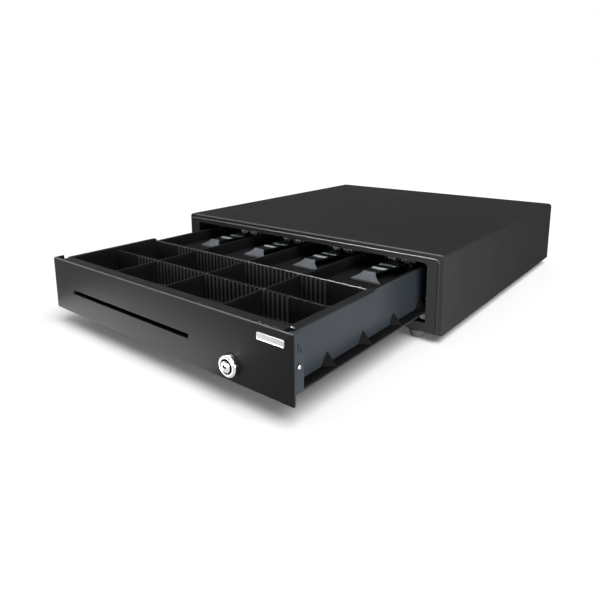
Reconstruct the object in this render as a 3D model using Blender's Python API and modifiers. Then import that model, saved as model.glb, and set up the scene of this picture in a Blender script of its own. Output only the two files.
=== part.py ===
"""A steel cash drawer, standing on its feet with the drawer pulled part of the way out.

Metres, +Z up. The drawer opens towards -Y. The origin is on the floor, in the middle of the whole object.
"""

import math

import bmesh
import bpy
from mathutils import Matrix, Vector

# Clearances
SEAT_GAP = 0.0003
PIN_GAP = 0.0001
SLIDE_GAP = 0.0005

# Case
CASE_WIDTH = 0.410
CASE_DEPTH = 0.415
CASE_HEIGHT = 0.091
CASE_SHEET = 0.0012
CASE_EDGE_ROUND = 0.0015
CASE_TOP_ROUND = 0.005
BEZEL_PROUD = 0.0012
BEZEL_SIDE_MARGIN = 0.0055
BEZEL_TOP_MARGIN = 0.005
BEZEL_CORNER = 0.005
BEZEL_EDGE_ROUND = 0.0005
OPENING_SIDE = 0.0195
OPENING_BOTTOM = 0.0116
OPENING_TOP = 0.0111
OPENING_CORNER = 0.005

# Feet
FOOT_RADIUS = 0.0099
FOOT_TIP_RADIUS = 0.0084
FOOT_HEIGHT = 0.0087
FOOT_ROUND = 0.0026
FOOT_SIDE_INSET = 0.033
FOOT_FRONT_INSET = 0.0106
FOOT_BACK_INSET = 0.020

# Cable grommet in the back of the case
GROMMET_BORE = 0.004
GROMMET_NECK = 0.0065
GROMMET_FLANGE_RADIUS = 0.009
GROMMET_FLANGE = 0.0017
GROMMET_FROM_LEFT = 0.060
GROMMET_HEIGHT = 0.018

# Drawer position and travel
DRAWER_OPENING = 0.2244
DRAWER_TRAVEL_LEFT = 0.060

# Drawer front
FRONT_SIDE_GAP = 0.0013
FRONT_BOTTOM_GAP = 0.0006
FRONT_TOP_GAP = 0.0061
FRONT_PLATE = 0.003
FRONT_RETURN_DEPTH = 0.0126
FRONT_RETURN_SHEET = 0.0015
FRONT_EDGE_ROUND = 0.0012
SLOT_FROM_LEFT = 0.0402
SLOT_LENGTH = 0.2027
SLOT_HEIGHT = 0.005
SLOT_RISE = 0.0267
SLOT_MARGIN = 0.0015

# Side screws of the drawer front
SCREW_HEAD_RADIUS = 0.0027
SCREW_HEAD_HEIGHT = 0.0006
SCREW_SHANK_RADIUS = 0.0015
SCREW_SHANK_LENGTH = 0.0045
SCREW_FROM_FACE = 0.0067
SCREW_RISE = 0.0328
SCREW_TAB_HEIGHT = 0.018

# Name plate
PLATE_WIDTH = 0.0292
PLATE_HEIGHT = 0.0063
PLATE_THICKNESS = 0.0008
PLATE_FROM_RIGHT = 0.0235
PLATE_BELOW_TOP = 0.01005
PLATE_CORNER = 0.0008

# Lock
LOCK_FROM_RIGHT = 0.0702
LOCK_RISE = 0.0158
LOCK_PROUD = 0.0067
LOCK_HEAD_RADIUS = 0.01025
LOCK_BODY_RADIUS = 0.0085
LOCK_BODY_LENGTH = 0.0204
LOCK_BORE_RADIUS = 0.006
LOCK_RIM_ROUND = 0.002
LOCK_RIM_SINK = 0.0012
KEYWAY_LENGTH = 0.0086
KEYWAY_WIDTH = 0.0018
KEYWAY_DEPTH = 0.007
LOCK_NUT_FLATS = 0.023
LOCK_NUT_THICKNESS = 0.004
LOCK_NUT_ROOM = 0.0015
CAM_LENGTH = 0.021
CAM_WIDTH = 0.009
CAM_THICKNESS = 0.002
CAM_ROOM = 0.004
KEEPER_OVERLAP = 0.008
KEEPER_WIDTH = 0.016
KEEPER_GAP = 0.0008

# Drawer pan
PAN_SHEET = 0.0012
PAN_BACK_ROOM = 0.0744
PAN_SIDE_INSET = 0.0122
PAN_FLANGE = 0.012
PAN_FLOOR_RISE = 0.0101
PAN_WALL_HEIGHT = 0.0472
DART_FIRST = 0.0604
DART_PITCH = 0.0585
DART_COUNT = 4
DART_HEIGHT = 0.0125
DART_REACH = 0.0112
DART_LENGTH = 0.020
STOP_TAB_WIDTH = 0.030
STOP_TAB_DROP = 0.011
STOP_TAB_FROM_BACK = 0.0165
BUMPER_WIDTH = 0.034
BUMPER_LENGTH = 0.010
BUMPER_HEIGHT = 0.0135

# Rollers and runners
FRONT_ROLLER_RADIUS = 0.005
FRONT_ROLLER_WIDTH = 0.007
FRONT_ROLLER_DEPTH = 0.009
REAR_ROLLER_RADIUS = 0.006
REAR_ROLLER_WIDTH = 0.008
REAR_ROLLER_FROM_BACK = 0.0112
REAR_ROLLER_RISE = 0.0042
ROLLER_SIDE_GAP = 0.0015
ROLLER_PIN_RADIUS = 0.0018
ROLLER_PIN_HEAD = 0.003
ROLLER_PIN_HEAD_THICKNESS = 0.0012
RUNNER_SHEET = 0.0012
RUNNER_SIDE_GAP = 0.0035
RUNNER_FOOT = 0.011
RUNNER_FLANGE = 0.0115
RUNNER_FRONT_GAP = 0.0008
RUNNER_TRACK_START = 0.007
RUNNER_BACK_GAP = 0.014

# Coin tray
TRAY_WALL = 0.0025
COIN_TRAY_FRONT_LAND = 0.0104
COIN_TRAY_BOTTOM_RISE = 0.0197
COIN_TRAY_FLOOR = 0.002
COIN_TRAY_RIM_THICKNESS = 0.003
COIN_TRAY_RIM_REACH = 0.003
COIN_WALL_DROP = 0.0028
COIN_LEDGE = 0.0006
COIN_ROW_LENGTH = 0.0577
COIN_ROWS = 2
COIN_BACK_WALL = 0.002
COMB_PITCH = 0.006
COMB_RIB_WIDTH = 0.003
COMB_RIB_DEPTH = 0.0015
COMB_RIBS = 40
DIVIDER_STEPS = 14
DIVIDER_THICKNESS = 0.0018

# Note tray
NOTE_TRAY_GAP = 0.002
NOTE_TRAY_BACK_ROOM = 0.0265
NOTE_FLOOR_DROP = 0.0148
NOTE_FLOOR_THICKNESS = 0.0025

# Note clips, measured forwards from their hinge
CLIP_HINGE_FROM_BACK = 0.0386
CLIP_HINGE_RISE = 0.009
CLIP_LENGTH = 0.0804
CLIP_ROOT = 0.013
CLIP_ROOT_DROP = 0.0015
CLIP_ROOT_HALF_WIDTH = 0.015
CLIP_NECK_RISE = 0.0013
CLIP_NECK_HALF_WIDTH = 0.007
CLIP_ARM_THICKNESS = 0.0025
CLIP_PAD_LENGTH = 0.0094
CLIP_PAD_HALF_WIDTH = 0.0196
CLIP_PAD_THICKNESS = 0.0019
CLIP_FLOOR_GAP = 0.0004
CLIP_TREAD_HEIGHT = 0.0006
CLIP_TREAD_SINK = 0.0008
CLIP_TREAD_MARGIN = 0.0015
CLIP_TREAD_LENGTH = 0.005
CLIP_TREAD_FIRST = 0.0258
CLIP_TREAD_PITCH = 0.021
CLIP_KNUCKLE_RADIUS = 0.0038
CLIP_KNUCKLE_WIDTH = 0.011
CLIP_PIN_RADIUS = 0.0015
CLIP_PIN_HEAD = 0.0024
CLIP_PIN_HEAD_THICKNESS = 0.001
CLIP_LUG_INSET = 0.0165
CLIP_LUG_THICKNESS = 0.002
CLIP_LUG_LENGTH = 0.010
CLIP_LUG_OVER_PIN = 0.004
CLIP_BASE_LENGTH = 0.016
CLIP_BASE_THICKNESS = 0.0012
CLIP_SPRING_WIRE = 0.0011
CLIP_SPRING_RADIUS = 0.0038
CLIP_SPRING_CURLS = 3
CLIP_SPRING_PITCH = 0.0024
CLIP_SPRING_KNUCKLE_GAP = 0.0014
CLIP_SPRING_REACH = 0.018
CLIP_SPRING_TAIL = 0.005

# Latch unit behind the drawer
LATCH_PIVOT_RIGHT = 0.020
LATCH_PIVOT_BEHIND_PAN = 0.0444
LATCH_OPEN_ANGLE = math.radians(20)
LATCH_LEVER_WIDTH = 0.006
LATCH_LEVER_THICKNESS = 0.0024
LATCH_TAIL_LENGTH = 0.0153
LATCH_TAIL_WIDTH = 0.004
LATCH_HOOK_LENGTH = 0.024
LATCH_HOOK_WIDTH = 0.0046
LATCH_HOOK_GAP = 0.0008
LATCH_HUB_RADIUS = 0.0055
LATCH_PIN_RADIUS = 0.0025
LATCH_PIN_HEAD = 0.004
LATCH_PIN_HEAD_THICKNESS = 0.0015
STRIKER_POST_RADIUS = 0.003
STRIKER_PLATE_WIDTH = 0.016
STRIKER_PLATE_HEIGHT = 0.018
STRIKER_ARM_THICKNESS = 0.002
STRIKER_POST_BEHIND_PAN = 0.012
STRIKER_POST_LENGTH = 0.013
BRACKET_SHEET = 0.0015
BRACKET_LEFT = 0.076
BRACKET_RIGHT = 0.074
BRACKET_LENGTH = 0.062
BRACKET_BACK_GAP = 0.002
COIL_RADIUS = 0.0093
COIL_LENGTH = 0.034
COIL_CHEEK = 0.002
COIL_WINDING_DROP = 0.0012
COIL_GAP_TO_SPOOL = 0.0075
COIL_LUG_HEIGHT = 0.019
PLUNGER_RADIUS = 0.004
PLUNGER_AXIS_FROM_PIVOT = 0.018
PLUNGER_PULL_ARM = 0.014
PLUNGER_INSERTION = 0.023
SPOOL_RADIUS = 0.006
SPOOL_NECK = 0.002
SPOOL_GROOVE = 0.0064
SPOOL_CHEEK = 0.0015
KICK_SPRING_LEFT = 0.060
KICK_SPRING_RISE = 0.033
KICK_SPRING_RADIUS = 0.006
KICK_SPRING_WIRE = 0.0016
KICK_SPRING_CURLS = 7
KICK_SPRING_PRELOAD = 0.025
KICK_ROD_RADIUS = 0.004
KICK_ROD_LENGTH = 0.040
KICK_LUG_WIDTH = 0.022
KICK_LUG_HEIGHT = 0.045
SWITCH_WIDTH = 0.020
SWITCH_DEPTH = 0.0104
SWITCH_HEIGHT = 0.011
SWITCH_RISE = 0.020
SWITCH_RIGHT = 0.060
SWITCH_BUTTON = 0.0032
SWITCH_BUTTON_TRAVEL = 0.004
SWITCH_GAP_TO_PAN = 0.001
SWITCH_LUG_WIDTH = 0.022

# Facets
FINE_STEPS = 24
ROUND_STEPS = 16
PIN_STEPS = 12
ARC_STEPS = 4
CURL_POINTS = 8

# Where things are
CASE_BOTTOM = FOOT_HEIGHT + SEAT_GAP
CASE_TOP = CASE_BOTTOM + CASE_HEIGHT
HALF_WIDTH = CASE_WIDTH / 2
FRONT_Y = -(CASE_DEPTH + SEAT_GAP + GROMMET_FLANGE - DRAWER_OPENING - LOCK_PROUD) / 2
BACK_Y = FRONT_Y + CASE_DEPTH
CASE_FRONT_INSIDE = FRONT_Y + BEZEL_PROUD + CASE_SHEET
BASE_TOP = CASE_BOTTOM + CASE_SHEET
OPENING_HALF = HALF_WIDTH - OPENING_SIDE
OPENING_LOW = CASE_BOTTOM + OPENING_BOTTOM
OPENING_HIGH = CASE_TOP - OPENING_TOP
FACE_Y = FRONT_Y - DRAWER_OPENING
FRONT_HALF = OPENING_HALF - FRONT_SIDE_GAP
FRONT_LOW = OPENING_LOW + FRONT_BOTTOM_GAP
FRONT_HIGH = OPENING_HIGH - FRONT_TOP_GAP
PAN_HALF = FRONT_HALF - PAN_SIDE_INSET
PAN_INSIDE = PAN_HALF - PAN_SHEET
PAN_LOW = FRONT_LOW + PAN_FLOOR_RISE
PAN_FLOOR = PAN_LOW + PAN_SHEET
RETURN_LOW = PAN_LOW + SEAT_GAP
PAN_TOP = PAN_LOW + PAN_WALL_HEIGHT
PAN_FRONT_Y = FACE_Y + FRONT_PLATE + SEAT_GAP
PAN_BACK_Y = FACE_Y + CASE_DEPTH - PAN_BACK_ROOM
LOCK_X = FRONT_HALF - LOCK_FROM_RIGHT
LOCK_Z = FRONT_LOW + LOCK_RISE
CAM_Y = FACE_Y + LOCK_BODY_LENGTH + SEAT_GAP
RUNNER_X = PAN_HALF + PAN_FLANGE + RUNNER_SIDE_GAP
FRONT_ROLLER_Y = FRONT_Y + FRONT_ROLLER_DEPTH
FRONT_ROLLER_Z = PAN_LOW - SEAT_GAP - FRONT_ROLLER_RADIUS
REAR_ROLLER_Y = PAN_BACK_Y - REAR_ROLLER_FROM_BACK
REAR_ROLLER_Z = PAN_LOW + REAR_ROLLER_RISE
COIN_FRONT_Y = PAN_FRONT_Y + PAN_SHEET + SLIDE_GAP
COIN_ROW_PITCH = COIN_ROW_LENGTH + TRAY_WALL
COIN_ROWS_END_Y = COIN_FRONT_Y + COIN_TRAY_FRONT_LAND + COIN_ROWS * COIN_ROW_PITCH - TRAY_WALL
COIN_BACK_Y = COIN_ROWS_END_Y + COIN_BACK_WALL
COIN_HALF = PAN_INSIDE - SLIDE_GAP
COIN_BOTTOM = PAN_LOW + COIN_TRAY_BOTTOM_RISE
COIN_RIM_TOP = PAN_TOP + SEAT_GAP + COIN_TRAY_RIM_THICKNESS
COIN_WALL_TOP = COIN_RIM_TOP - COIN_WALL_DROP
DIVIDER_X = DIVIDER_STEPS * COMB_PITCH
NOTE_FRONT_Y = COIN_BACK_Y + NOTE_TRAY_GAP
NOTE_BACK_Y = PAN_BACK_Y - PAN_SHEET - NOTE_TRAY_BACK_ROOM
NOTE_FLOOR = PAN_TOP - NOTE_FLOOR_DROP
HINGE_Y = NOTE_BACK_Y - CLIP_HINGE_FROM_BACK
HINGE_Z = NOTE_FLOOR + CLIP_HINGE_RISE
CLIP_NECK = CLIP_LENGTH - CLIP_PAD_LENGTH
CLIP_PAD_LOW = NOTE_FLOOR + CLIP_FLOOR_GAP
CLOSED_PAN_BACK_Y = PAN_BACK_Y + DRAWER_OPENING
BRACKET_BACK_Y = BACK_Y - CASE_SHEET - BRACKET_BACK_GAP
BRACKET_TOP = BASE_TOP + SEAT_GAP + BRACKET_SHEET
LATCH_PIVOT_Y = CLOSED_PAN_BACK_Y + LATCH_PIVOT_BEHIND_PAN
COIL_Z = BRACKET_TOP + SEAT_GAP + COIL_RADIUS
PLUNGER_Y = LATCH_PIVOT_Y + PLUNGER_AXIS_FROM_PIVOT
SPOOL_X = LATCH_PIVOT_RIGHT - PLUNGER_PULL_ARM * LATCH_OPEN_ANGLE
STOP_TAB_Y = PAN_BACK_Y - STOP_TAB_FROM_BACK
SWITCH_BACK_Y = CLOSED_PAN_BACK_Y + SWITCH_GAP_TO_PAN + SWITCH_BUTTON_TRAVEL + SWITCH_DEPTH

parts = bpy.data.collections.new("cash_drawer")
helpers = bpy.data.collections.new("cutters")


def clear_scene():
    for obj in list(bpy.data.objects):
        bpy.data.objects.remove(obj, do_unlink=True)
    bpy.context.scene.collection.children.link(parts)
    bpy.context.scene.collection.children.link(helpers)


def material(name, colour, roughness, metallic=0.0):
    made = bpy.data.materials.new(name)
    made.use_nodes = True
    shader = made.node_tree.nodes["Principled BSDF"]
    shader.inputs["Base Color"].default_value = (*colour, 1)
    shader.inputs["Roughness"].default_value = roughness
    shader.inputs["Metallic"].default_value = metallic
    return made


def place(obj, finish):
    """A piece with a finish is a part; one without is a helper that cuts or is joined."""
    if finish is None:
        helpers.objects.link(obj)
        obj.hide_render = True
        obj.display_type = "WIRE"
    else:
        parts.objects.link(obj)
        obj.data.materials.append(finish)
    return obj


def box(name, low, high, finish=None, origin=(0, 0, 0)):
    """A box between two corners, its origin at the point given."""
    low, high, origin = Vector(low), Vector(high), Vector(origin)
    mesh = bpy.data.meshes.new(name)
    shape = bmesh.new()
    centre = Matrix.Translation((low + high) / 2 - origin)
    bmesh.ops.create_cube(shape, size=1, matrix=centre @ Matrix.Diagonal((*(high - low), 1)))
    shape.to_mesh(mesh)
    shape.free()
    obj = bpy.data.objects.new(name, mesh)
    obj.location = origin
    return place(obj, finish)


def turned(name, profile, centre, axis, finish=None, steps=ROUND_STEPS, bored=False):
    """A profile of (radius, height) points, from the top down, turned about an axis through centre."""
    mesh = bpy.data.meshes.new(name)
    edges = [(n, n + 1) for n in range(len(profile) - 1)]
    if bored:
        edges.append((len(profile) - 1, 0))
    mesh.from_pydata([(radius, 0, height) for radius, height in profile], edges, [])
    obj = bpy.data.objects.new(name, mesh)
    obj.location = centre
    obj.rotation_euler = Vector((0, 0, 1)).rotation_difference(Vector(axis)).to_euler()
    screw = obj.modifiers.new("Turn", "SCREW")
    screw.steps = screw.render_steps = steps
    screw.use_merge_vertices = True
    screw.merge_threshold = 0.00001
    screw.use_smooth_shade = True
    return place(obj, finish)


def extruded(name, outline, low, high, normal, finish=None, origin=(0, 0, 0)):
    """A flat outline swept along an axis. Its points are (x, y), (x, z) or (y, z) for normal Z, Y or X."""
    curve = bpy.data.curves.new(name, "CURVE")
    curve.dimensions = "2D"
    curve.fill_mode = "BOTH"
    curve.extrude = (high - low) / 2
    spline = curve.splines.new("POLY")
    spline.points.add(len(outline) - 1)
    for point, (u, v) in zip(spline.points, outline):
        point.co = (u, v, 0, 1)
    spline.use_cyclic_u = True
    guide = bpy.data.objects.new(name + "_outline", curve)
    helpers.objects.link(guide)
    evaluated = guide.evaluated_get(bpy.context.evaluated_depsgraph_get())
    mesh = bpy.data.meshes.new_from_object(evaluated)
    bpy.data.objects.remove(guide, do_unlink=True)
    turn = {
        "Z": Matrix.Identity(4),
        "Y": Matrix.Rotation(math.radians(90), 4, "X"),
        "X": Matrix(((0, 0, 1, 0), (1, 0, 0, 0), (0, 1, 0, 0), (0, 0, 0, 1))),
    }[normal]
    middle = Vector([(low + high) / 2 if axis == normal else 0 for axis in "XYZ"])
    mesh.transform(Matrix.Translation(middle - Vector(origin)) @ turn)
    shape = bmesh.new()
    shape.from_mesh(mesh)
    bmesh.ops.remove_doubles(shape, verts=shape.verts, dist=0.000001)
    bmesh.ops.dissolve_limit(shape, angle_limit=0.001, verts=shape.verts, edges=shape.edges)
    bmesh.ops.recalc_face_normals(shape, faces=shape.faces)
    shape.to_mesh(mesh)
    shape.free()
    obj = bpy.data.objects.new(name, mesh)
    obj.location = origin
    return place(obj, finish)


def wire(name, points, thickness, finish, origin):
    """A tube of round wire along a list of points, its least gap to itself measured on those points."""
    curve = bpy.data.curves.new(name, "CURVE")
    curve.dimensions = "3D"
    curve.bevel_depth = thickness / 2
    curve.bevel_resolution = 1
    curve.use_fill_caps = True
    spline = curve.splines.new("POLY")
    spline.points.add(len(points) - 1)
    for point, co in zip(spline.points, points):
        point.co = (*(co - origin), 1)
    obj = bpy.data.objects.new(name, curve)
    obj.location = origin
    print(f"{name}: least gap to itself {self_gap(points, thickness) * 1000:.2f} mm")
    return place(obj, finish)


def self_gap(points, thickness):
    """The least gap between two stretches of a wire that lie more than half a curl apart along it."""
    apart = CURL_POINTS // 2 + 1
    pairs = ((a, b) for n, a in enumerate(points) for b in points[n + apart :])
    return min((a - b).length for a, b in pairs) - thickness


def add_boolean(target, other, operation, solver):
    modifier = target.modifiers.new(operation.title() + " " + other.name, "BOOLEAN")
    modifier.operation = operation
    modifier.object = other
    modifier.solver = solver


def cut(target, *cutters, solver="EXACT"):
    for cutter in cutters:
        add_boolean(target, cutter, "DIFFERENCE", solver)


def join(target, *others, solver="EXACT"):
    for other in others:
        add_boolean(target, other, "UNION", solver)


def round_edges(obj, width, segments=2):
    bevel = obj.modifiers.new("Round edges", "BEVEL")
    bevel.width = width
    bevel.segments = segments
    bevel.limit_method = "ANGLE"
    bevel.angle_limit = math.radians(50)
    return obj


def arc(centre, radius, start, end, steps=ARC_STEPS):
    """Points along an arc, from one angle in degrees to another."""
    turns = [math.radians(start + (end - start) * n / steps) for n in range(steps + 1)]
    return [(centre[0] + radius * math.cos(t), centre[1] + radius * math.sin(t)) for t in turns]


def rounded_rectangle(low, high, top_radius, bottom_radius):
    """A rectangle's outline with its top and bottom corners rounded."""
    outline = []
    for side, top, start in ((1, 1, 0), (0, 1, 90), (0, 0, 180), (1, 0, 270)):
        radius = top_radius if top else bottom_radius
        x = high[0] - radius if side else low[0] + radius
        z = high[1] - radius if top else low[1] + radius
        outline += arc((x, z), radius, start, start + 90)
    return outline


def cylinder(radius, low, high):
    return [(0, high), (radius, high), (radius, low), (0, low)]


def headed_pin(shank, head, head_thickness, low, high):
    """A pin with a head at each end, the shank between low and high."""
    return [
        (0, high + head_thickness),
        (head, high + head_thickness),
        (head, high),
        (shank, high),
        (shank, low),
        (head, low),
        (head, low - head_thickness),
        (0, low - head_thickness),
    ]


def ring(bore, radius, low, high, chamfer):
    """A bored roller's profile, with both rims chamfered."""
    return [
        (bore, high),
        (radius - chamfer, high),
        (radius, high - chamfer),
        (radius, low + chamfer),
        (radius - chamfer, low),
        (bore, low),
    ]


def arched(half, low, high, radius):
    """An outline that is square below and has rounded corners above."""
    right = arc((half - radius, high - radius), radius, 0, 90)
    left = arc((radius - half, high - radius), radius, 90, 180)
    return [(half, low), *right, *left, (-half, low)]


def make_case(paint):
    outline = arched(HALF_WIDTH, CASE_BOTTOM, CASE_TOP, CASE_TOP_ROUND)
    case = extruded("case_shell", outline, FRONT_Y + BEZEL_PROUD, BACK_Y, "Y", paint)
    round_edges(case, CASE_EDGE_ROUND)
    bezel_half = HALF_WIDTH - BEZEL_SIDE_MARGIN
    bezel_low = (-bezel_half, CASE_BOTTOM + CASE_EDGE_ROUND)
    bezel_outline = rounded_rectangle(
        bezel_low, (bezel_half, CASE_TOP - BEZEL_TOP_MARGIN), BEZEL_CORNER, BEZEL_EDGE_ROUND
    )
    bezel = extruded("bezel_plate", bezel_outline, FRONT_Y, CASE_FRONT_INSIDE - CASE_SHEET / 4, "Y")
    round_edges(bezel, BEZEL_EDGE_ROUND)
    inside = HALF_WIDTH - CASE_SHEET
    cavity_outline = arched(
        inside, CASE_BOTTOM - CASE_SHEET, CASE_TOP - CASE_SHEET, CASE_TOP_ROUND - CASE_SHEET
    )
    cavity = extruded("case_cavity", cavity_outline, CASE_FRONT_INSIDE, BACK_Y - CASE_SHEET, "Y")
    opening_outline = rounded_rectangle(
        (-OPENING_HALF, OPENING_LOW), (OPENING_HALF, OPENING_HIGH), OPENING_CORNER, BEZEL_EDGE_ROUND
    )
    mouth_end = CASE_FRONT_INSIDE + CASE_SHEET
    mouth = extruded("case_mouth", opening_outline, FRONT_Y - CASE_SHEET, mouth_end, "Y")
    hole_at = (GROMMET_FROM_LEFT - HALF_WIDTH, BACK_Y, CASE_BOTTOM + GROMMET_HEIGHT)
    hole_radius = GROMMET_NECK + PIN_GAP
    hole = turned("cable_hole", cylinder(hole_radius, -2 * CASE_SHEET, CASE_SHEET), hole_at, (0, 1, 0))
    join(case, bezel)
    cut(case, cavity, mouth, hole)


def make_grommet(rubber):
    inner = -CASE_SHEET - SEAT_GAP
    outer = SEAT_GAP
    profile = [
        (GROMMET_BORE, outer + GROMMET_FLANGE),
        (GROMMET_FLANGE_RADIUS - GROMMET_FLANGE / 2, outer + GROMMET_FLANGE),
        (GROMMET_FLANGE_RADIUS, outer + GROMMET_FLANGE / 2),
        (GROMMET_FLANGE_RADIUS, outer),
        (GROMMET_NECK, outer),
        (GROMMET_NECK, inner),
        (GROMMET_FLANGE_RADIUS, inner),
        (GROMMET_FLANGE_RADIUS, inner - GROMMET_FLANGE),
        (GROMMET_BORE, inner - GROMMET_FLANGE),
    ]
    centre = (GROMMET_FROM_LEFT - HALF_WIDTH, BACK_Y, CASE_BOTTOM + GROMMET_HEIGHT)
    turned("cable_grommet", profile, centre, (0, 1, 0), rubber, bored=True)


def make_base(paint):
    inside = HALF_WIDTH - CASE_SHEET - SEAT_GAP
    low = (-inside, CASE_FRONT_INSIDE + SEAT_GAP, CASE_BOTTOM)
    base = box("base_plate", low, (inside, BACK_Y - CASE_SHEET - SEAT_GAP, BASE_TOP), paint)
    keeper_back = CAM_Y + DRAWER_OPENING - KEEPER_GAP
    keeper_high = LOCK_Z - CAM_LENGTH + KEEPER_OVERLAP
    keeper = box(
        "lock_keeper",
        (LOCK_X - KEEPER_WIDTH / 2, keeper_back - CASE_SHEET, CASE_BOTTOM + CASE_SHEET / 4),
        (LOCK_X + KEEPER_WIDTH / 2, keeper_back, keeper_high),
    )
    join(base, keeper)


def make_feet(rubber):
    profile = [
        (0, FOOT_HEIGHT),
        (FOOT_RADIUS, FOOT_HEIGHT),
        (FOOT_TIP_RADIUS, FOOT_ROUND),
        (FOOT_TIP_RADIUS - FOOT_ROUND / 3, FOOT_ROUND / 3),
        (FOOT_TIP_RADIUS - FOOT_ROUND, 0),
        (0, 0),
    ]
    rows = {"front": FRONT_Y + FOOT_FRONT_INSET, "back": BACK_Y - FOOT_BACK_INSET}
    for row, y in rows.items():
        for side, sign in (("left", -1), ("right", 1)):
            centre = (sign * (HALF_WIDTH - FOOT_SIDE_INSET), y, 0)
            turned(f"foot_{row}_{side}", profile, centre, (0, 0, 1), rubber)


def make_runner(side, sign, steel):
    """A channel that the drawer's rear roller runs in, with a foot flange on the base plate."""
    low = BASE_TOP + SEAT_GAP
    track = REAR_ROLLER_Z - REAR_ROLLER_RADIUS - SEAT_GAP
    roof = REAR_ROLLER_Z + REAR_ROLLER_RADIUS + SEAT_GAP
    web, outer, tip = RUNNER_X, RUNNER_X + RUNNER_SHEET, RUNNER_X - RUNNER_FLANGE
    outline = [
        (outer + RUNNER_FOOT, low),
        (outer + RUNNER_FOOT, low + RUNNER_SHEET),
        (outer, low + RUNNER_SHEET),
        (outer, roof + RUNNER_SHEET),
        (tip, roof + RUNNER_SHEET),
        (tip, roof),
        (web, roof),
        (web, track),
        (tip, track),
        (tip, track - RUNNER_SHEET),
        (web, track - RUNNER_SHEET),
        (web, low),
    ]
    start, end = CASE_FRONT_INSIDE + RUNNER_FRONT_GAP, BACK_Y - CASE_SHEET - RUNNER_BACK_GAP
    runner = extruded(f"runner_{side}", [(sign * x, z) for x, z in outline], start, end, "Y", steel)
    notch_end = FRONT_ROLLER_Y + FRONT_ROLLER_RADIUS + RUNNER_TRACK_START / 2
    notch_x = sorted((sign * web, sign * (tip - RUNNER_SHEET)))
    notch = box(
        f"runner_notch_{side}",
        (notch_x[0], start - RUNNER_SHEET, low),
        (notch_x[1], notch_end, roof + 2 * RUNNER_SHEET),
    )
    hole = turned(
        f"runner_hole_{side}",
        cylinder(ROLLER_PIN_RADIUS + PIN_GAP, -RUNNER_SHEET, 2 * RUNNER_SHEET),
        (sign * web, FRONT_ROLLER_Y, FRONT_ROLLER_Z),
        (sign, 0, 0),
    )
    cut(runner, notch, hole)


def make_front_roller(side, sign, plastic, steel):
    """The roller at the mouth of the case that carries the drawer's side flange."""
    centre = (sign * (PAN_HALF + PAN_FLANGE - FRONT_ROLLER_WIDTH / 2), FRONT_ROLLER_Y, FRONT_ROLLER_Z)
    half = FRONT_ROLLER_WIDTH / 2
    bore = ROLLER_PIN_RADIUS + PIN_GAP
    profile = ring(bore, FRONT_ROLLER_RADIUS, -half, half, half / 6)
    turned(f"front_roller_{side}", profile, centre, (sign, 0, 0), plastic, bored=True)
    pin_end = RUNNER_X + RUNNER_SHEET + SEAT_GAP - abs(centre[0])
    pin = headed_pin(ROLLER_PIN_RADIUS, ROLLER_PIN_HEAD, ROLLER_PIN_HEAD_THICKNESS, -half - SEAT_GAP, pin_end)
    turned(f"front_roller_pin_{side}", pin, centre, (sign, 0, 0), steel, PIN_STEPS)


def make_rear_roller(side, sign, plastic, steel):
    """The roller at the back of the drawer that runs in the channel."""
    start = PAN_HALF + ROLLER_SIDE_GAP
    centre = (sign * start, REAR_ROLLER_Y, REAR_ROLLER_Z)
    bore = ROLLER_PIN_RADIUS + PIN_GAP
    profile = ring(bore, REAR_ROLLER_RADIUS, 0, REAR_ROLLER_WIDTH, REAR_ROLLER_WIDTH / 10)
    turned(f"rear_roller_{side}", profile, centre, (sign, 0, 0), plastic, bored=True)
    low = PAN_INSIDE - SEAT_GAP - start
    high = REAR_ROLLER_WIDTH + SEAT_GAP
    pin = headed_pin(ROLLER_PIN_RADIUS, ROLLER_PIN_HEAD, ROLLER_PIN_HEAD_THICKNESS, low, high)
    turned(f"rear_roller_pin_{side}", pin, centre, (sign, 0, 0), steel, PIN_STEPS)


def make_drawer_front(paint):
    low = (-FRONT_HALF, FACE_Y, FRONT_LOW)
    front = box("drawer_front", low, (FRONT_HALF, FACE_Y + FRONT_PLATE, FRONT_HIGH), paint)
    round_edges(front, FRONT_EDGE_ROUND)
    for side, sign in (("left", -1), ("right", 1)):
        reach = sorted((sign * (FRONT_HALF - FRONT_RETURN_SHEET), sign * FRONT_HALF))
        strip = box(
            f"front_return_{side}",
            (reach[0], FACE_Y + FRONT_PLATE / 2, RETURN_LOW),
            (reach[1], FACE_Y + FRONT_RETURN_DEPTH, FRONT_HIGH - FRONT_EDGE_ROUND / 4),
        )
        join(front, strip)
        hole = turned(
            f"front_screw_hole_{side}",
            cylinder(SCREW_SHANK_RADIUS + PIN_GAP, -2 * FRONT_RETURN_SHEET, FRONT_RETURN_SHEET),
            (sign * FRONT_HALF, FACE_Y + SCREW_FROM_FACE, FRONT_LOW + SCREW_RISE),
            (sign, 0, 0),
        )
        cut(front, hole)
    slot_low, slot_high = slot_corners(0)
    slot = box(
        "media_slot",
        (slot_low[0], FACE_Y - FRONT_PLATE, slot_low[1]),
        (slot_high[0], FACE_Y + 2 * FRONT_PLATE, slot_high[1]),
    )
    bore = turned(
        "lock_hole",
        cylinder(LOCK_BODY_RADIUS + PIN_GAP, -FRONT_PLATE, 2 * FRONT_PLATE),
        (LOCK_X, FACE_Y, LOCK_Z),
        (0, 1, 0),
        steps=FINE_STEPS,
    )
    cut(front, slot, bore)


def slot_corners(margin):
    """The media slot's lowest and highest (x, z), widened all round by a margin."""
    left = SLOT_FROM_LEFT - FRONT_HALF
    bottom = FRONT_LOW + SLOT_RISE - SLOT_HEIGHT / 2
    low = (left - margin, bottom - margin)
    return low, (left + SLOT_LENGTH + margin, bottom + SLOT_HEIGHT + margin)


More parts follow.
